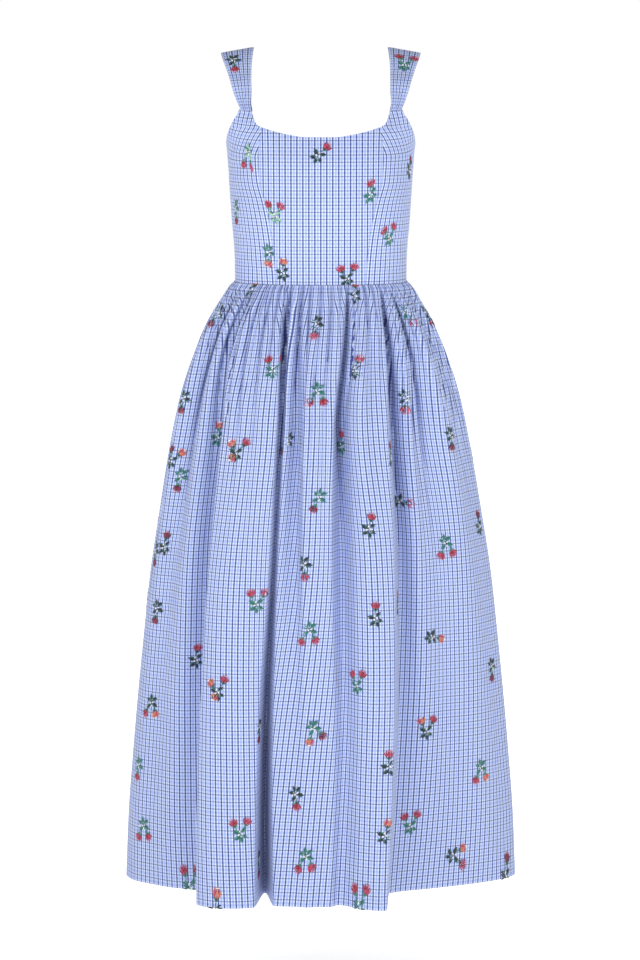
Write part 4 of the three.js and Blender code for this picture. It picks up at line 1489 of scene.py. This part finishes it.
FRONT_SPRIGS = (
    Sprig(234, 61, 1, 175, Leaf.DARK, Bloom.ROSE),
    Sprig(407, 62, 2, 5, Leaf.TEAL),
    Sprig(320, 151, 1, 38, Leaf.DARK),
    Sprig(247, 156, 2, 180, Leaf.PALE, Bloom.ROSE),
    Sprig(372, 192, 1, -20, Leaf.TEAL, Bloom.ROSE),
    Sprig(274, 212, 2, 5, Leaf.PALE),
    Sprig(390, 234, 2, -5, Leaf.TEAL),
    Sprig(411, 167, 1, 10, Leaf.DARK, Bloom.PLUM),
    Sprig(235, 211, 1, 180, Leaf.TEAL, Bloom.PLUM),
    Sprig(268, 257, 1, 180, Leaf.TEAL, Bloom.PEACH),
    Sprig(282, 271, 1, 0, Leaf.DARK, Bloom.PEACH),
    Sprig(349, 276, 2, 0, Leaf.DARK, Bloom.RED),
    Sprig(357, 292, 1, 0, Leaf.DARK, Bloom.ROSE),
    Sprig(252, 284, 1, 0, Leaf.DARK, Bloom.PEACH),
    Sprig(317, 326, 1, 176, Leaf.DARK, Bloom.ROSE),
    Sprig(407, 315, 1, 140, Leaf.TEAL, Bloom.ROSE),
    Sprig(215, 316, 1, 200, Leaf.DARK, Bloom.PLUM),
    Sprig(430, 316, 1, 160, Leaf.DARK, Bloom.PLUM),
    Sprig(272, 367, 2, 5, Leaf.TEAL),
    Sprig(355, 367, 1, 8, Leaf.DARK, Bloom.ROSE),
    Sprig(317, 393, 2, 185, Leaf.TEAL),
    Sprig(406, 402, 1, 178, Leaf.DARK, Bloom.RED),
    Sprig(182, 401, 1, 175, Leaf.DARK, Bloom.PLUM),
    Sprig(172, 456, 2, 20, Leaf.DARK, Bloom.PLUM),
    Sprig(179, 482, 1, 180, Leaf.TEAL, Bloom.PLUM),
    Sprig(219, 434, 1, -5, Leaf.TEAL, Bloom.PEACH),
    Sprig(236, 451, 3, 10, Leaf.DARK, Bloom.PEACH),
    Sprig(287, 444, 1, 205, Leaf.DARK, Bloom.PLUM),
    Sprig(340, 444, 1, 0, Leaf.TEAL, Bloom.ROSE),
    Sprig(452, 437, 1, 175, Leaf.DARK, Bloom.PLUM),
    Sprig(391, 453, 1, 0, Leaf.DARK, Bloom.PLUM),
    Sprig(318, 500, 1, 195, Leaf.TEAL, Bloom.PLUM),
    Sprig(402, 501, 1, 90, Leaf.DARK, Bloom.ROSE),
    Sprig(371, 528, 1, 10, Leaf.DARK, Bloom.RED),
    Sprig(447, 549, 2, 178, Leaf.TEAL),
    Sprig(480, 523, 1, 0, Leaf.DARK, Bloom.PLUM),
    Sprig(154, 555, 1, 170, Leaf.DARK, Bloom.PLUM),
    Sprig(164, 541, 1, 0, Leaf.DARK, Bloom.PLUM),
    Sprig(304, 566, 1, 165, Leaf.DARK, Bloom.RED),
    Sprig(256, 603, 2, 5, Leaf.TEAL, Bloom.ROSE),
    Sprig(156, 609, 1, 180, Leaf.DARK, Bloom.PLUM),
    Sprig(398, 601, 1, 0, Leaf.DARK, Bloom.PEACH),
    Sprig(376, 611, 1, -5, Leaf.DARK, Bloom.RED),
    Sprig(309, 632, 2, 180, Leaf.TEAL, Bloom.RED),
    Sprig(436, 638, 1, 95, Leaf.DARK, Bloom.PEACH),
    Sprig(197, 656, 1, 0, Leaf.DARK, Bloom.ROSE),
    Sprig(217, 687, 3, 0, Leaf.DARK, Bloom.PEACH),
    Sprig(150, 706, 2, 185, Leaf.DARK, Bloom.PEACH),
    Sprig(356, 681, 2, 0, Leaf.TEAL, Bloom.ROSE),
    Sprig(492, 667, 1, 178, Leaf.DARK, Bloom.PLUM),
    Sprig(261, 731, 1, 180, Leaf.DARK, Bloom.PLUM),
    Sprig(315, 730, 2, 160, Leaf.TEAL, Bloom.PLUM),
    Sprig(429, 731, 2, 5, Leaf.DARK, Bloom.PEACH),
    Sprig(390, 760, 1, -8, Leaf.DARK, Bloom.ROSE),
    Sprig(138, 766, 1, 180, Leaf.TEAL, Bloom.RED),
    Sprig(482, 772, 2, 180, Leaf.TEAL, Bloom.PEACH),
    Sprig(297, 796, 1, 165, Leaf.DARK, Bloom.RED),
    Sprig(241, 834, 2, 0, Leaf.TEAL, Bloom.RED),
    Sprig(141, 832, 2, 180, Leaf.TEAL, Bloom.RED),
    Sprig(386, 836, 1, 5, Leaf.DARK, Bloom.PEACH),
    Sprig(411, 826, 2, 0, Leaf.TEAL, Bloom.RED),
    Sprig(457, 854, 2, 95, Leaf.DARK, Bloom.PEACH),
    Sprig(259, 861, 1, 180, Leaf.DARK, Bloom.PLUM),
    Sprig(305, 858, 2, 180, Leaf.TEAL, Bloom.ROSE),
    Sprig(507, 872, 1, 10, Leaf.DARK, Bloom.PLUM),
    Sprig(190, 882, 2, 5, Leaf.TEAL, Bloom.RED),
    Sprig(216, 906, 1, 0, Leaf.DARK, Bloom.PEACH),
    Sprig(359, 903, 2, 5, Leaf.TEAL, Bloom.RED),
)


class Stitch(NamedTuple):
    """One satin stitch on the flat cloth, in millimetres from the sprig's middle."""

    start: Array
    end: Array
    lift: float
    width: float
    thread: Thread


class Part(NamedTuple):
    """A stitch of a bud or a leaf: its ends to the right and ahead, and the number of its thread."""

    start: tuple[float, float]
    end: tuple[float, float]
    lift: float
    width: float
    thread: int


class Spot(NamedTuple):
    """A place in a sprig: right of and above its middle, with a turn in radians and a size."""

    right: float
    up: float
    turn: float
    size: float = 1.0


# Six petals side by side, two folded over them, a light edge and three sepals. The threads are the
# petals' three and then the leaf's two
BUD = (
    Part((-2.897, -2.022), (-4.164, 2.022), 0.5, 1.4, 0),
    Part((-1.738, -4.134), (-2.498, 4.134), 0.5, 1.4, 1),
    Part((-0.579, -3.930), (-0.833, 3.930), 0.5, 1.4, 0),
    Part((0.579, -4.758), (0.833, 4.758), 0.5, 1.4, 0),
    Part((1.738, -3.415), (2.498, 3.415), 0.5, 1.4, 1),
    Part((2.897, -2.448), (4.164, 2.448), 0.5, 1.4, 0),
    Part((-2.968, -2.546), (-0.145, 1.581), 1.1, 1.4, 1),
    Part((2.968, -2.546), (0.145, 1.581), 1.1, 1.4, 0),
    Part((-1.6, 3.0), (1.9, 3.5), 1.2, 1.1, 2),
    Part((0, -5.2), (-2.7, -2.5), 0.95, 1.25, 4),
    Part((0, -5.2), (0, -2.5), 0.95, 1.25, 3),
    Part((0, -5.2), (2.7, -2.5), 0.95, 1.25, 4),
)
# A leaf's middle, and a shorter stitch on each side of it
LEAF = (
    Part((0, 0), (0, 7.4), 0.8, 1.5, 0),
    Part((-1.15, 1.332), (-1.15, 5.772), 0.55, 1.5, 0),
    Part((1.15, 1.332), (1.15, 5.772), 0.55, 1.5, 1),
)
# A single white stitch, a painted highlight where a glint would fall, and a pale one at the foot of the
# stems
PAINTED_HIGHLIGHT = (Part((0, -1.3), (0, 1.3), 1.25, 1.25, 0),)
FOOT = (Part((1.6, -6.2), (2.9, -5.6), 1.2, 1.1, 0),)

HEADS = {
    1: (Spot(1.4, 8.4, 0.15),),
    2: (Spot(-6.6, 6.6, -0.45), Spot(6.4, 8.2, 0.4)),
    3: (Spot(-7.4, 4.6, -0.8), Spot(7.0, 9.0, 0.35), Spot(-2.6, -8.6, -2.6)),
}
LEAVES = (
    Spot(0.3, -2.4, 0.9, 0.95),
    Spot(-0.3, -3.4, -1.25, 1.1),
    Spot(0.3, -5.2, 1.9, 0.95),
    Spot(-0.4, -5.8, -2.2, 1.0),
    Spot(0.0, -6.4, 2.9, 0.9),
)
# Where a sprig's white stitches lie, each a painted highlight
PAINTED_HIGHLIGHT_SPOTS = (Spot(-0.9, -1.2, 0.5), Spot(1.2, -3.8, -0.6), Spot(-1.7, -4.6, 1.2))
OTHER_BLOOM = {
    Bloom.RED: Bloom.ROSE,
    Bloom.ROSE: Bloom.RED,
    Bloom.PEACH: Bloom.RED,
    Bloom.PLUM: Bloom.PEACH,
}


@dataclass
class SprigPattern:
    """How a sprig is stitched: rosebuds on short stems with leaves between them, in millimetres."""

    scale: float = 1.45
    neck: float = 5
    stem_foot: tuple[float, float] = (0, -6)
    stem_bow: float = 0.48
    stem_parts: int = 3
    stem_lift: float = 0.5
    stem_width: float = 1.0

    @staticmethod
    def motif(parts: Sequence[Part], spot: Spot, threads: Sequence[Thread]) -> list[Stitch]:
        """Stitch a bud, a leaf or a single white stitch that paints a highlight.

        Args:
            parts: its table.
            spot: where it lies, which way it points and its size.
            threads: the threads that the table counts through.

        Returns:
            Its stitches.
        """
        ahead = np.array([math.sin(spot.turn), math.cos(spot.turn)])
        right = np.array([ahead[1], -ahead[0]])
        middle = np.array([spot.right, spot.up])
        made = []
        for part in parts:
            start, end = (middle + (right * x + ahead * y) * spot.size for x, y in (part.start, part.end))
            made.append(Stitch(start, end, part.lift, part.width * spot.size, threads[part.thread]))
        return made

    def stem(self, end: Array, leaf: Leaf) -> list[Stitch]:
        """Stitch a stem from the sprig's foot that bows to one side.

        Args:
            end: where the stem meets its bud.
            leaf: the greens.

        Returns:
            Its stitches.
        """
        way = end - self.stem_foot
        bow = np.array([-way[1], way[0]]) * self.stem_bow
        share = np.linspace(0, 1, self.stem_parts + 1)[:, None]
        places = self.stem_foot + way * share + bow * share * (1 - share)
        return [Stitch(a, b, self.stem_lift, self.stem_width, leaf.value[1])
                for a, b in zip(places, places[1:])]

    def stitches(self, buds: int, leaf: Leaf, bloom: Bloom) -> list[Stitch]:
        """Return all the stitches of a sprig whose buds point up.

        Args:
            buds: one, two or three buds.
            leaf: the greens.
            bloom: the colours of its main bud.

        Returns:
            The stitches.
        """
        made = []
        for number, head in enumerate(HEADS[buds]):
            look = OTHER_BLOOM[bloom] if number % 2 else bloom
            ahead = np.array([math.sin(head.turn), math.cos(head.turn)])
            made += self.stem((head.right, head.up) - ahead * self.neck, leaf)
            made += self.motif(BUD, head, (*look.value, *leaf.value))
        for spot in LEAVES:
            made += self.motif(LEAF, spot, leaf.value)
        # Painted highlights: white stitches where glints would fall
        for spot in PAINTED_HIGHLIGHT_SPOTS:
            made += self.motif(PAINTED_HIGHLIGHT, spot, (Thread.WHITE,))
        return made + self.motif(FOOT, Spot(0, 0, 0), (Thread.PALE,))


@dataclass
class StitchNodes:
    """Geometry nodes that put one rounded thread on each stitch's point."""

    name: str = "satin_stitches"
    flatness: float = 0.55
    thinnest: float = 0.85
    thickest: float = 1.15
    segments: int = 6
    rings: int = 4
    seed: int = 5

    def build(self) -> bpy.types.NodeTree:
        """Build the tree: points in, threads out, with sizes as named inputs.

        Returns:
            The tree.
        """
        tree = bpy.data.node_groups.new(self.name, "GeometryNodeTree")
        tree.is_modifier = True
        sockets = (("Points", "NodeSocketGeometry"), ("Flatness", "NodeSocketFloat"),
                   ("Segments", "NodeSocketInt"), ("Rings", "NodeSocketInt"), ("Seed", "NodeSocketInt"),
                   ("Finish", "NodeSocketMaterial"))
        for label, kind in sockets:
            tree.interface.new_socket(label, in_out="INPUT", socket_type=kind)
        tree.interface.new_socket("Threads", in_out="OUTPUT", socket_type="NodeSocketGeometry")
        given = add_node(tree, "NodeGroupInput").outputs
        along = add_node(tree, "GeometryNodeInputNamedAttribute", {"Name": "along"},
                         data_type="FLOAT_VECTOR")
        face = add_node(tree, "GeometryNodeInputNamedAttribute", {"Name": "face"}, data_type="FLOAT_VECTOR")
        width = add_node(tree, "GeometryNodeInputNamedAttribute", {"Name": "width"}, data_type="FLOAT")
        length = add_node(tree, "ShaderNodeVectorMath", {0: along.outputs[0]}, operation="LENGTH")
        half = add_node(tree, "ShaderNodeMath", {0: length.outputs["Value"], 1: 0.5}, operation="MULTIPLY")
        jitter = add_node(tree, "FunctionNodeRandomValue",
                          {2: self.thinnest, 3: self.thickest, "Seed": given["Seed"]}, data_type="FLOAT")
        wide = add_node(tree, "ShaderNodeMath", {0: width.outputs[0], 1: jitter.outputs[1]},
                        operation="MULTIPLY")
        thick = add_node(tree, "ShaderNodeMath", {0: wide.outputs[0], 1: given["Flatness"]},
                         operation="MULTIPLY")
        scale = add_node(tree, "ShaderNodeCombineXYZ", {0: thick.outputs[0], 1: wide.outputs[0],
                                                        2: half.outputs[0]})
        thread = add_node(tree, "GeometryNodeMeshUVSphere", {"Segments": given["Segments"],
                                                             "Rings": given["Rings"], "Radius": 1.0})
        lying = add_node(tree, "FunctionNodeAlignRotationToVector", {"Vector": along.outputs[0]}, axis="Z")
        facing = add_node(tree, "FunctionNodeAlignRotationToVector", {
            "Rotation": lying.outputs[0], "Vector": face.outputs[0]}, axis="X", pivot_axis="Z")
        placed = add_node(tree, "GeometryNodeInstanceOnPoints", {
            "Points": given["Points"], "Instance": thread.outputs["Mesh"], "Rotation": facing.outputs[0],
            "Scale": scale.outputs[0]})
        real = add_node(tree, "GeometryNodeRealizeInstances", {0: placed.outputs[0]})
        smooth = add_node(tree, "GeometryNodeSetShadeSmooth", {0: real.outputs[0]})
        dressed = add_node(tree, "GeometryNodeSetMaterial",
                           {0: smooth.outputs[0], "Material": given["Finish"]})
        add_node(tree, "NodeGroupOutput", {0: dressed.outputs[0]})
        return tree


@dataclass
class CoilNodes:
    """Geometry nodes that lay zip teeth along a line at an even pitch."""

    name: str = "zip_coil"
    sides: int = 6

    def build(self) -> bpy.types.NodeTree:
        """Build the tree: a line in, teeth across it out.

        Returns:
            The tree.
        """
        tree = bpy.data.node_groups.new(self.name, "GeometryNodeTree")
        tree.is_modifier = True
        sockets = (("Line", "NodeSocketGeometry"), ("Pitch", "NodeSocketFloat"),
                   ("Tooth Width", "NodeSocketFloat"), ("Tooth Radius", "NodeSocketFloat"),
                   ("Finish", "NodeSocketMaterial"))
        for label, kind in sockets:
            tree.interface.new_socket(label, in_out="INPUT", socket_type=kind)
        tree.interface.new_socket("Teeth", in_out="OUTPUT", socket_type="NodeSocketGeometry")
        given = add_node(tree, "NodeGroupInput").outputs
        line = add_node(tree, "GeometryNodeMeshToCurve", {0: given["Line"]})
        points = add_node(tree, "GeometryNodeCurveToPoints", {0: line.outputs[0], "Length": given["Pitch"]},
                          mode="LENGTH")
        tooth = add_node(tree, "GeometryNodeMeshCylinder", {
            "Vertices": self.sides, "Radius": given["Tooth Radius"], "Depth": given["Tooth Width"]})
        across = add_node(tree, "FunctionNodeAlignRotationToVector", {"Vector": (1, 0, 0)}, axis="Z")
        placed = add_node(tree, "GeometryNodeInstanceOnPoints", {
            "Points": points.outputs["Points"], "Instance": tooth.outputs["Mesh"],
            "Rotation": across.outputs[0]})
        real = add_node(tree, "GeometryNodeRealizeInstances", {0: placed.outputs[0]})
        dressed = add_node(tree, "GeometryNodeSetMaterial",
                           {0: real.outputs[0], "Material": given["Finish"]})
        add_node(tree, "NodeGroupOutput", {0: dressed.outputs[0]})
        return tree


def grown(name: str, source: bpy.types.Mesh, tree: bpy.types.NodeTree, inputs: dict) -> bpy.types.Object:
    """Run a tree of geometry nodes on a mesh and return the result as a plain mesh object.

    Args:
        name: the new piece's name.
        source: the mesh that the tree starts from.
        tree: the geometry nodes.
        inputs: values by the name of the tree's input.

    Returns:
        The new piece, with no modifier left on it.
    """
    seedling = bpy.data.objects.new(f"{name}_source", source)
    bpy.context.scene.collection.objects.link(seedling)
    modifier = seedling.modifiers.new("grow", "NODES")
    modifier.node_group = tree
    for item in tree.interface.items_tree:
        if item.item_type == "SOCKET" and item.in_out == "INPUT" and item.name in inputs:
            modifier[item.identifier] = inputs[item.name]
    evaluated = seedling.evaluated_get(bpy.context.evaluated_depsgraph_get())
    mesh = bpy.data.meshes.new_from_object(evaluated)
    mesh.name = name
    piece = bpy.data.objects.new(name, mesh)
    bpy.context.scene.collection.objects.link(piece)
    seedling.modifiers.clear()
    bpy.data.objects.remove(seedling)
    return piece


class Placed(NamedTuple):
    """A sprig at a place of a panel's grid."""

    row: float
    column: float
    buds: int
    turn: float
    leaf: Leaf
    bloom: Bloom


@dataclass
class Embroidery:
    """Sprigs on every panel: the front ones where the photograph shows them, the others scattered alike.

    A front sprig lies on the nearest cloth within near pixels of its place, or within slack pixels of
    the closest that the cloth comes. The spacing and the margin are in millimetres, and the odds are
    those of one, two or three buds and of each leaf and bloom in its Enum's order.
    """

    grids: dict[str, ClothGrid]
    pattern: SprigPattern = field(default_factory=SprigPattern)
    threads: StitchNodes = field(default_factory=StitchNodes)
    near: float = 2.0
    slack: float = 0.5
    miss_weight: float = 1000
    seed: int = 31
    tries: int = 2600
    spacing: float = 98
    spacing_shares: tuple[float, float] = (0.75, 1.1)
    margin: float = 18
    tilt: float = 20
    bud_odds: tuple[float, ...] = (0.55, 0.38, 0.07)
    leaf_odds: tuple[float, ...] = (0.45, 0.4, 0.15)
    bloom_odds: tuple[float, ...] = (0.4, 0.25, 0.2, 0.15)

    def front(self) -> dict[str, list[Placed]]:
        """Find where the front's sprigs lie.

        Returns:
            The sprigs by panel, each on the nearest cloth seen at its place.
        """
        names = [n for n in self.grids if "back" not in n]
        seen = {n: VIEW.pixels(self.grids[n].points) for n in names}
        found: dict[str, list[Placed]] = {n: [] for n in names}
        for sprig in FRONT_SPRIGS:
            choices = []
            for name in names:
                across, down, far = seen[name]
                miss = np.hypot(across - sprig.across, down - sprig.down)
                close = miss < max(self.near, miss.min() + self.slack)
                r, c = np.unravel_index(np.where(close, far, np.inf).argmin(), far.shape)
                score = max(miss[r, c] - self.near, 0) * self.miss_weight + far[r, c]
                choices.append((score, name, r, c))
            _, name, r, c = min(choices)
            found[name].append(Placed(r, c, sprig.buds, sprig.turn, sprig.leaf, sprig.bloom))
        return found

    def scattered(self, name: str, rng: np.random.Generator) -> list[Placed]:
        """Spread sprigs over one hidden panel, none too near another or an edge.

        Args:
            name: the panel's name.
            rng: the source of the draws.

        Returns:
            The panel's sprigs.
        """
        grid = self.grids[name]
        rows, columns = grid.points.shape[:2]
        edges = np.concatenate([grid.points[0], grid.points[-1], grid.points[:, 0], grid.points[:, -1]])
        places: list[Array] = []
        found = []
        for _ in range(self.tries):
            row, column = rng.uniform(0, rows - 1), rng.uniform(0, columns - 1)
            point = ClothGrid.sample(grid.points, np.array(row), np.array(column))
            if np.linalg.norm(edges - point, axis=-1).min() < self.margin:
                continue
            if any(np.linalg.norm(point - other) < self.spacing * rng.uniform(*self.spacing_shares)
                   for other in places):
                continue
            places.append(point)
            buds = int(rng.choice((1, 2, 3), p=self.bud_odds))
            turn = rng.choice((0, 180)) + rng.uniform(-self.tilt, self.tilt)
            leaf = list(Leaf)[rng.choice(len(Leaf), p=self.leaf_odds)]
            bloom = list(Bloom)[rng.choice(len(Bloom), p=self.bloom_odds)]
            found.append(Placed(row, column, buds, turn, leaf, bloom))
        return found

    def points(self, name: str, sprigs: Sequence[Placed]) -> bpy.types.Mesh:
        """Lay a panel's stitches on its cloth.

        Args:
            name: the panel's name.
            sprigs: its sprigs.

        Returns:
            A mesh of one point for each stitch, with what the geometry nodes need.
        """
        grid = self.grids[name]
        places, along, face, widths, colours = [], [], [], [], []
        for sprig in sprigs:
            made = self.pattern.stitches(sprig.buds, sprig.leaf, sprig.bloom)
            angle = math.radians(sprig.turn)
            spin = np.array([[math.cos(angle), -math.sin(angle)], [math.sin(angle), math.cos(angle)]])
            flat = np.array([[s.start, s.end] for s in made]) @ spin * self.pattern.scale
            lift = np.array([[s.lift, s.lift] for s in made])
            ends = grid.place(sprig.row, sprig.column, flat[..., 0], flat[..., 1], lift)
            lifted = grid.place(sprig.row, sprig.column, flat[..., 0], flat[..., 1], lift + 1)
            places.append(ends.mean(axis=1))
            along.append(ends[:, 1] - ends[:, 0])
            face.append((lifted - ends).mean(axis=1))
            widths.append([s.width / 2 * self.pattern.scale for s in made])
            colours.append([linear(s.thread.value) for s in made])
        mesh = bpy.data.meshes.new(f"{name}_stitch_points")
        mesh.from_pydata((np.concatenate(places) * MM).tolist(), [], [])
        columns = (("along", "FLOAT_VECTOR", "vector", np.concatenate(along) * MM),
                   ("face", "FLOAT_VECTOR", "vector", np.concatenate(face)),
                   ("width", "FLOAT", "value", np.concatenate(widths) * MM),
                   ("thread", "FLOAT_COLOR", "color", np.concatenate(colours)))
        for label, kind, part, values in columns:
            data = mesh.attributes.new(label, kind, "POINT").data
            data.foreach_set(part, np.ravel(values).astype(np.float32))
        return mesh

    def build(self, material: bpy.types.Material) -> dict[str, bpy.types.Object]:
        """Make the stitches of every panel.

        Args:
            material: the threads' finish.

        Returns:
            One piece for each panel, by the panel's name.
        """
        tree = self.threads.build()
        rng = np.random.default_rng(self.seed)
        sprigs = self.front()
        for name in self.grids:
            if "back" in name:
                sprigs[name] = self.scattered(name, rng)
        inputs = {"Flatness": self.threads.flatness, "Segments": self.threads.segments,
                  "Rings": self.threads.rings, "Seed": self.threads.seed, "Finish": material}
        pieces = {}
        for name, placed in sprigs.items():
            if placed:
                piece = grown(f"{name}_embroidery", self.points(name, placed), tree, inputs)
                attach(piece, BODY)
                pieces[name] = piece
                log.info("%s: %d sprigs", piece.name, len(placed))
        return pieces


# The zip


@dataclass
class Zip:
    """The concealed zip behind the centre back seam: tape and coil, in millimetres."""

    half_width: float = 9
    thickness: float = 0.7
    below_edge: float = 2
    end: float = -455
    pitch: float = 1.6
    tooth_width: float = 3.6
    tooth_radius: float = 0.55
    inset: float = 1.7
    rows: int = 60
    columns: int = 9

    def line(self, height: Array, across: Array) -> Array:
        """Follow the inside of the back's cloth.

        Args:
            height: heights, the same along each row.
            across: distances from the centre.

        Returns:
            Points just inside the cloth.
        """
        turn = np.arcsin(across / FORM.side(height))
        points = FORM.at(Half.BACK, turn, height)
        for r, level in enumerate(height[:, 0]):
            if level < WAIST:
                points[r, :, 1] += fold_profile(BACK_FOLDS, float(level))(np.degrees(turn[r]))
        points[..., 1] -= self.inset
        return points

    def tape(self, material: bpy.types.Material) -> bpy.types.Object:
        """Make the tape, which stands in for its plain node.

        Args:
            material: the tape's finish.

        Returns:
            The piece.
        """
        height = np.linspace(BACK_TOP[0].height - self.below_edge, self.end, self.rows)
        across = np.linspace(-self.half_width, self.half_width, self.columns)
        across, height = np.meshgrid(across, height)
        flat = np.stack([across, height], -1)
        piece = ClothGrid("zip_tape_woven", self.line(height, across), flat, self.thickness).build(material)
        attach(piece, BODY)
        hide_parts("zip_tape")
        log.info("%s: %d faces", piece.name, len(piece.data.polygons))
        return piece

    def coil(self, material: bpy.types.Material) -> bpy.types.Object:
        """Make the coil's teeth down the middle of the tape.

        Args:
            material: the coil's finish.

        Returns:
            The piece.
        """
        height = np.linspace(BACK_TOP[0].height - self.below_edge, self.end, self.rows)[:, None]
        path = self.line(height, np.zeros_like(height))[:, 0]
        path[:, 1] -= self.thickness + self.tooth_radius
        mesh = bpy.data.meshes.new("zip_line")
        mesh.from_pydata((path * MM).tolist(), [(i, i + 1) for i in range(len(path) - 1)], [])
        piece = grown("zip_coil", mesh, CoilNodes().build(), {
            "Pitch": self.pitch * MM, "Tooth Width": self.tooth_width * MM,
            "Tooth Radius": self.tooth_radius * MM, "Finish": material})
        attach(piece, BODY)
        log.info("%s: %d faces", piece.name, len(piece.data.polygons))
        return piece


# Stage and light


class SoftLight(NamedTuple):
    """A round soft light: its place in metres, its turn in degrees and its power in watts."""

    name: str
    place: tuple[float, float, float]
    turn: tuple[float, float, float]
    power: float


@dataclass(frozen=True)
class Studio:
    """A pale floor, a white surround that is dimmer overhead, and soft lights, in metres."""

    floor_height: float = -1.43
    floor_reach: float = 14.0
    shade_reach: float = 1.2
    ceiling: float = 0.24
    light_size: float = 2.4
    lights: tuple[SoftLight, ...] = (
        SoftLight("key_light", (-1.6, -3.6, 1.6), (62, 0, -24), 62.0),
        SoftLight("fill_light", (1.7, -3.8, 0.3), (80, 0, 24), 37.0),
        SoftLight("back_light", (1.4, 3.2, 1.6), (-62, 0, -24), 34.0),
    )

    def build(self) -> None:
        """Make the floor, the surround and the lights."""
        self.floor()
        self.surround()
        for light in self.lights:
            self.light(light)
        bpy.context.scene.view_settings.view_transform = "Standard"

    def floor(self) -> None:
        """Make the floor, which glows, with painted shade: its glow is weaker near the middle, under the
        dress.
        """
        mesh = bpy.data.meshes.new("floor")
        r = self.floor_reach
        corners = [(x, y, self.floor_height) for x, y in ((-r, -r), (r, -r), (r, r), (-r, r))]
        mesh.from_pydata(corners, [], [(0, 1, 2, 3)])
        floor = bpy.data.objects.new("floor", mesh)
        material = bpy.data.materials.new("matt_white_floor")
        material.use_nodes = True
        tree = material.node_tree
        shader = tree.nodes["Principled BSDF"]
        shader.inputs["Base Color"].default_value = linear("e7e7e7")
        shader.inputs["Roughness"].default_value = 0.9
        shader.inputs["Emission Color"].default_value = linear("ffffff")
        place = add_node(tree, "ShaderNodeTexCoord")
        away = add_node(tree, "ShaderNodeVectorMath", {0: place.outputs["Object"], 1: (1, 1, 0)},
                        operation="MULTIPLY")
        reach = add_node(tree, "ShaderNodeVectorMath", {0: away.outputs[0]}, operation="LENGTH")
        # Painted shade: the floor's glow is weaker near the dress, a painted shadow under it
        glow_with_painted_shade = add_node(tree, "ShaderNodeMapRange", {
            "Value": reach.outputs["Value"], "From Min": 0.2, "From Max": self.shade_reach, "To Min": 0.55,
            "To Max": 1.0}, interpolation_type="SMOOTHSTEP")
        tree.links.new(glow_with_painted_shade.outputs["Result"], shader.inputs["Emission Strength"])
        mesh.materials.append(material)
        bpy.context.scene.collection.objects.link(floor)

    def surround(self) -> None:
        """Make the white surround, dimmer overhead so that folds keep their shade."""
        world = bpy.data.worlds.new("studio")
        bpy.context.scene.world = world
        world.use_nodes = True
        tree = world.node_tree
        way = add_node(tree, "ShaderNodeTexCoord")
        axes = add_node(tree, "ShaderNodeSeparateXYZ", {0: way.outputs["Generated"]})
        wall = add_node(tree, "ShaderNodeMapRange", {
            "Value": axes.outputs[2], "From Min": 0.1, "From Max": 0.35, "To Min": 1.0,
            "To Max": self.ceiling}, interpolation_type="SMOOTHSTEP")
        background = tree.nodes["Background"]
        background.inputs["Color"].default_value = linear("ffffff")
        tree.links.new(wall.outputs["Result"], background.inputs["Strength"])

    def light(self, light: SoftLight) -> None:
        """Add one soft light.

        Args:
            light: its place, turn and power.
        """
        data = bpy.data.lights.new(light.name, "AREA")
        data.shape = "DISK"
        data.size = self.light_size
        data.energy = light.power
        lamp = bpy.data.objects.new(light.name, data)
        lamp.location = light.place
        lamp.rotation_euler = [math.radians(turn) for turn in light.turn]
        bpy.context.scene.collection.objects.link(lamp)


# The flat cut


class Cut(NamedTuple):
    """A piece's flat width and length in metres, and its area where it isn't a rectangle."""

    flat: tuple[float, float]
    area: float | None = None


def dress_cloth(grids: dict[str, ClothGrid], material: bpy.types.Material) -> dict[str, bpy.types.Object]:
    """Make every cloth panel in place of its plain node.

    Args:
        grids: the panels by node name.
        material: the cloth's finish.

    Returns:
        The pieces by node name.
    """
    pieces = {}
    for node, grid in grids.items():
        piece = grid.build(material)
        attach(piece, BODY)
        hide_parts(node)
        pieces[node] = piece
        log.info("%s: %d faces", piece.name, len(piece.data.polygons))
    return pieces


def main() -> None:
    """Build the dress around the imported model, and report each piece."""
    logging.basicConfig(level=logging.INFO, format="%(message)s")
    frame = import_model()
    VIEW.build()
    Studio().build()
    grids = Bodice().grids()
    for word, side in SIDES:
        grids[f"strap_{word}"] = Strap(word, side).grid()
    grids.update(Skirt(FRONT_SKIRT, BACK_SKIRT).grids())
    pieces = dress_cloth(grids, CheckedCotton().build())
    sprigs = Embroidery(grids).build(EmbroideryThread().build())
    zinc = ZINC_FINISH.build()
    fastening = Zip()
    fastening.tape(ZIP_TAPE_FINISH.build())
    fastening.coil(zinc)
    for node in ("zip_slider", "zip_pull"):
        for place in frame["nodes"][node].material_slots:
            place.material = zinc
        log.info("%s: kept from the packed model", node)


if __name__ == "__main__":
    main()
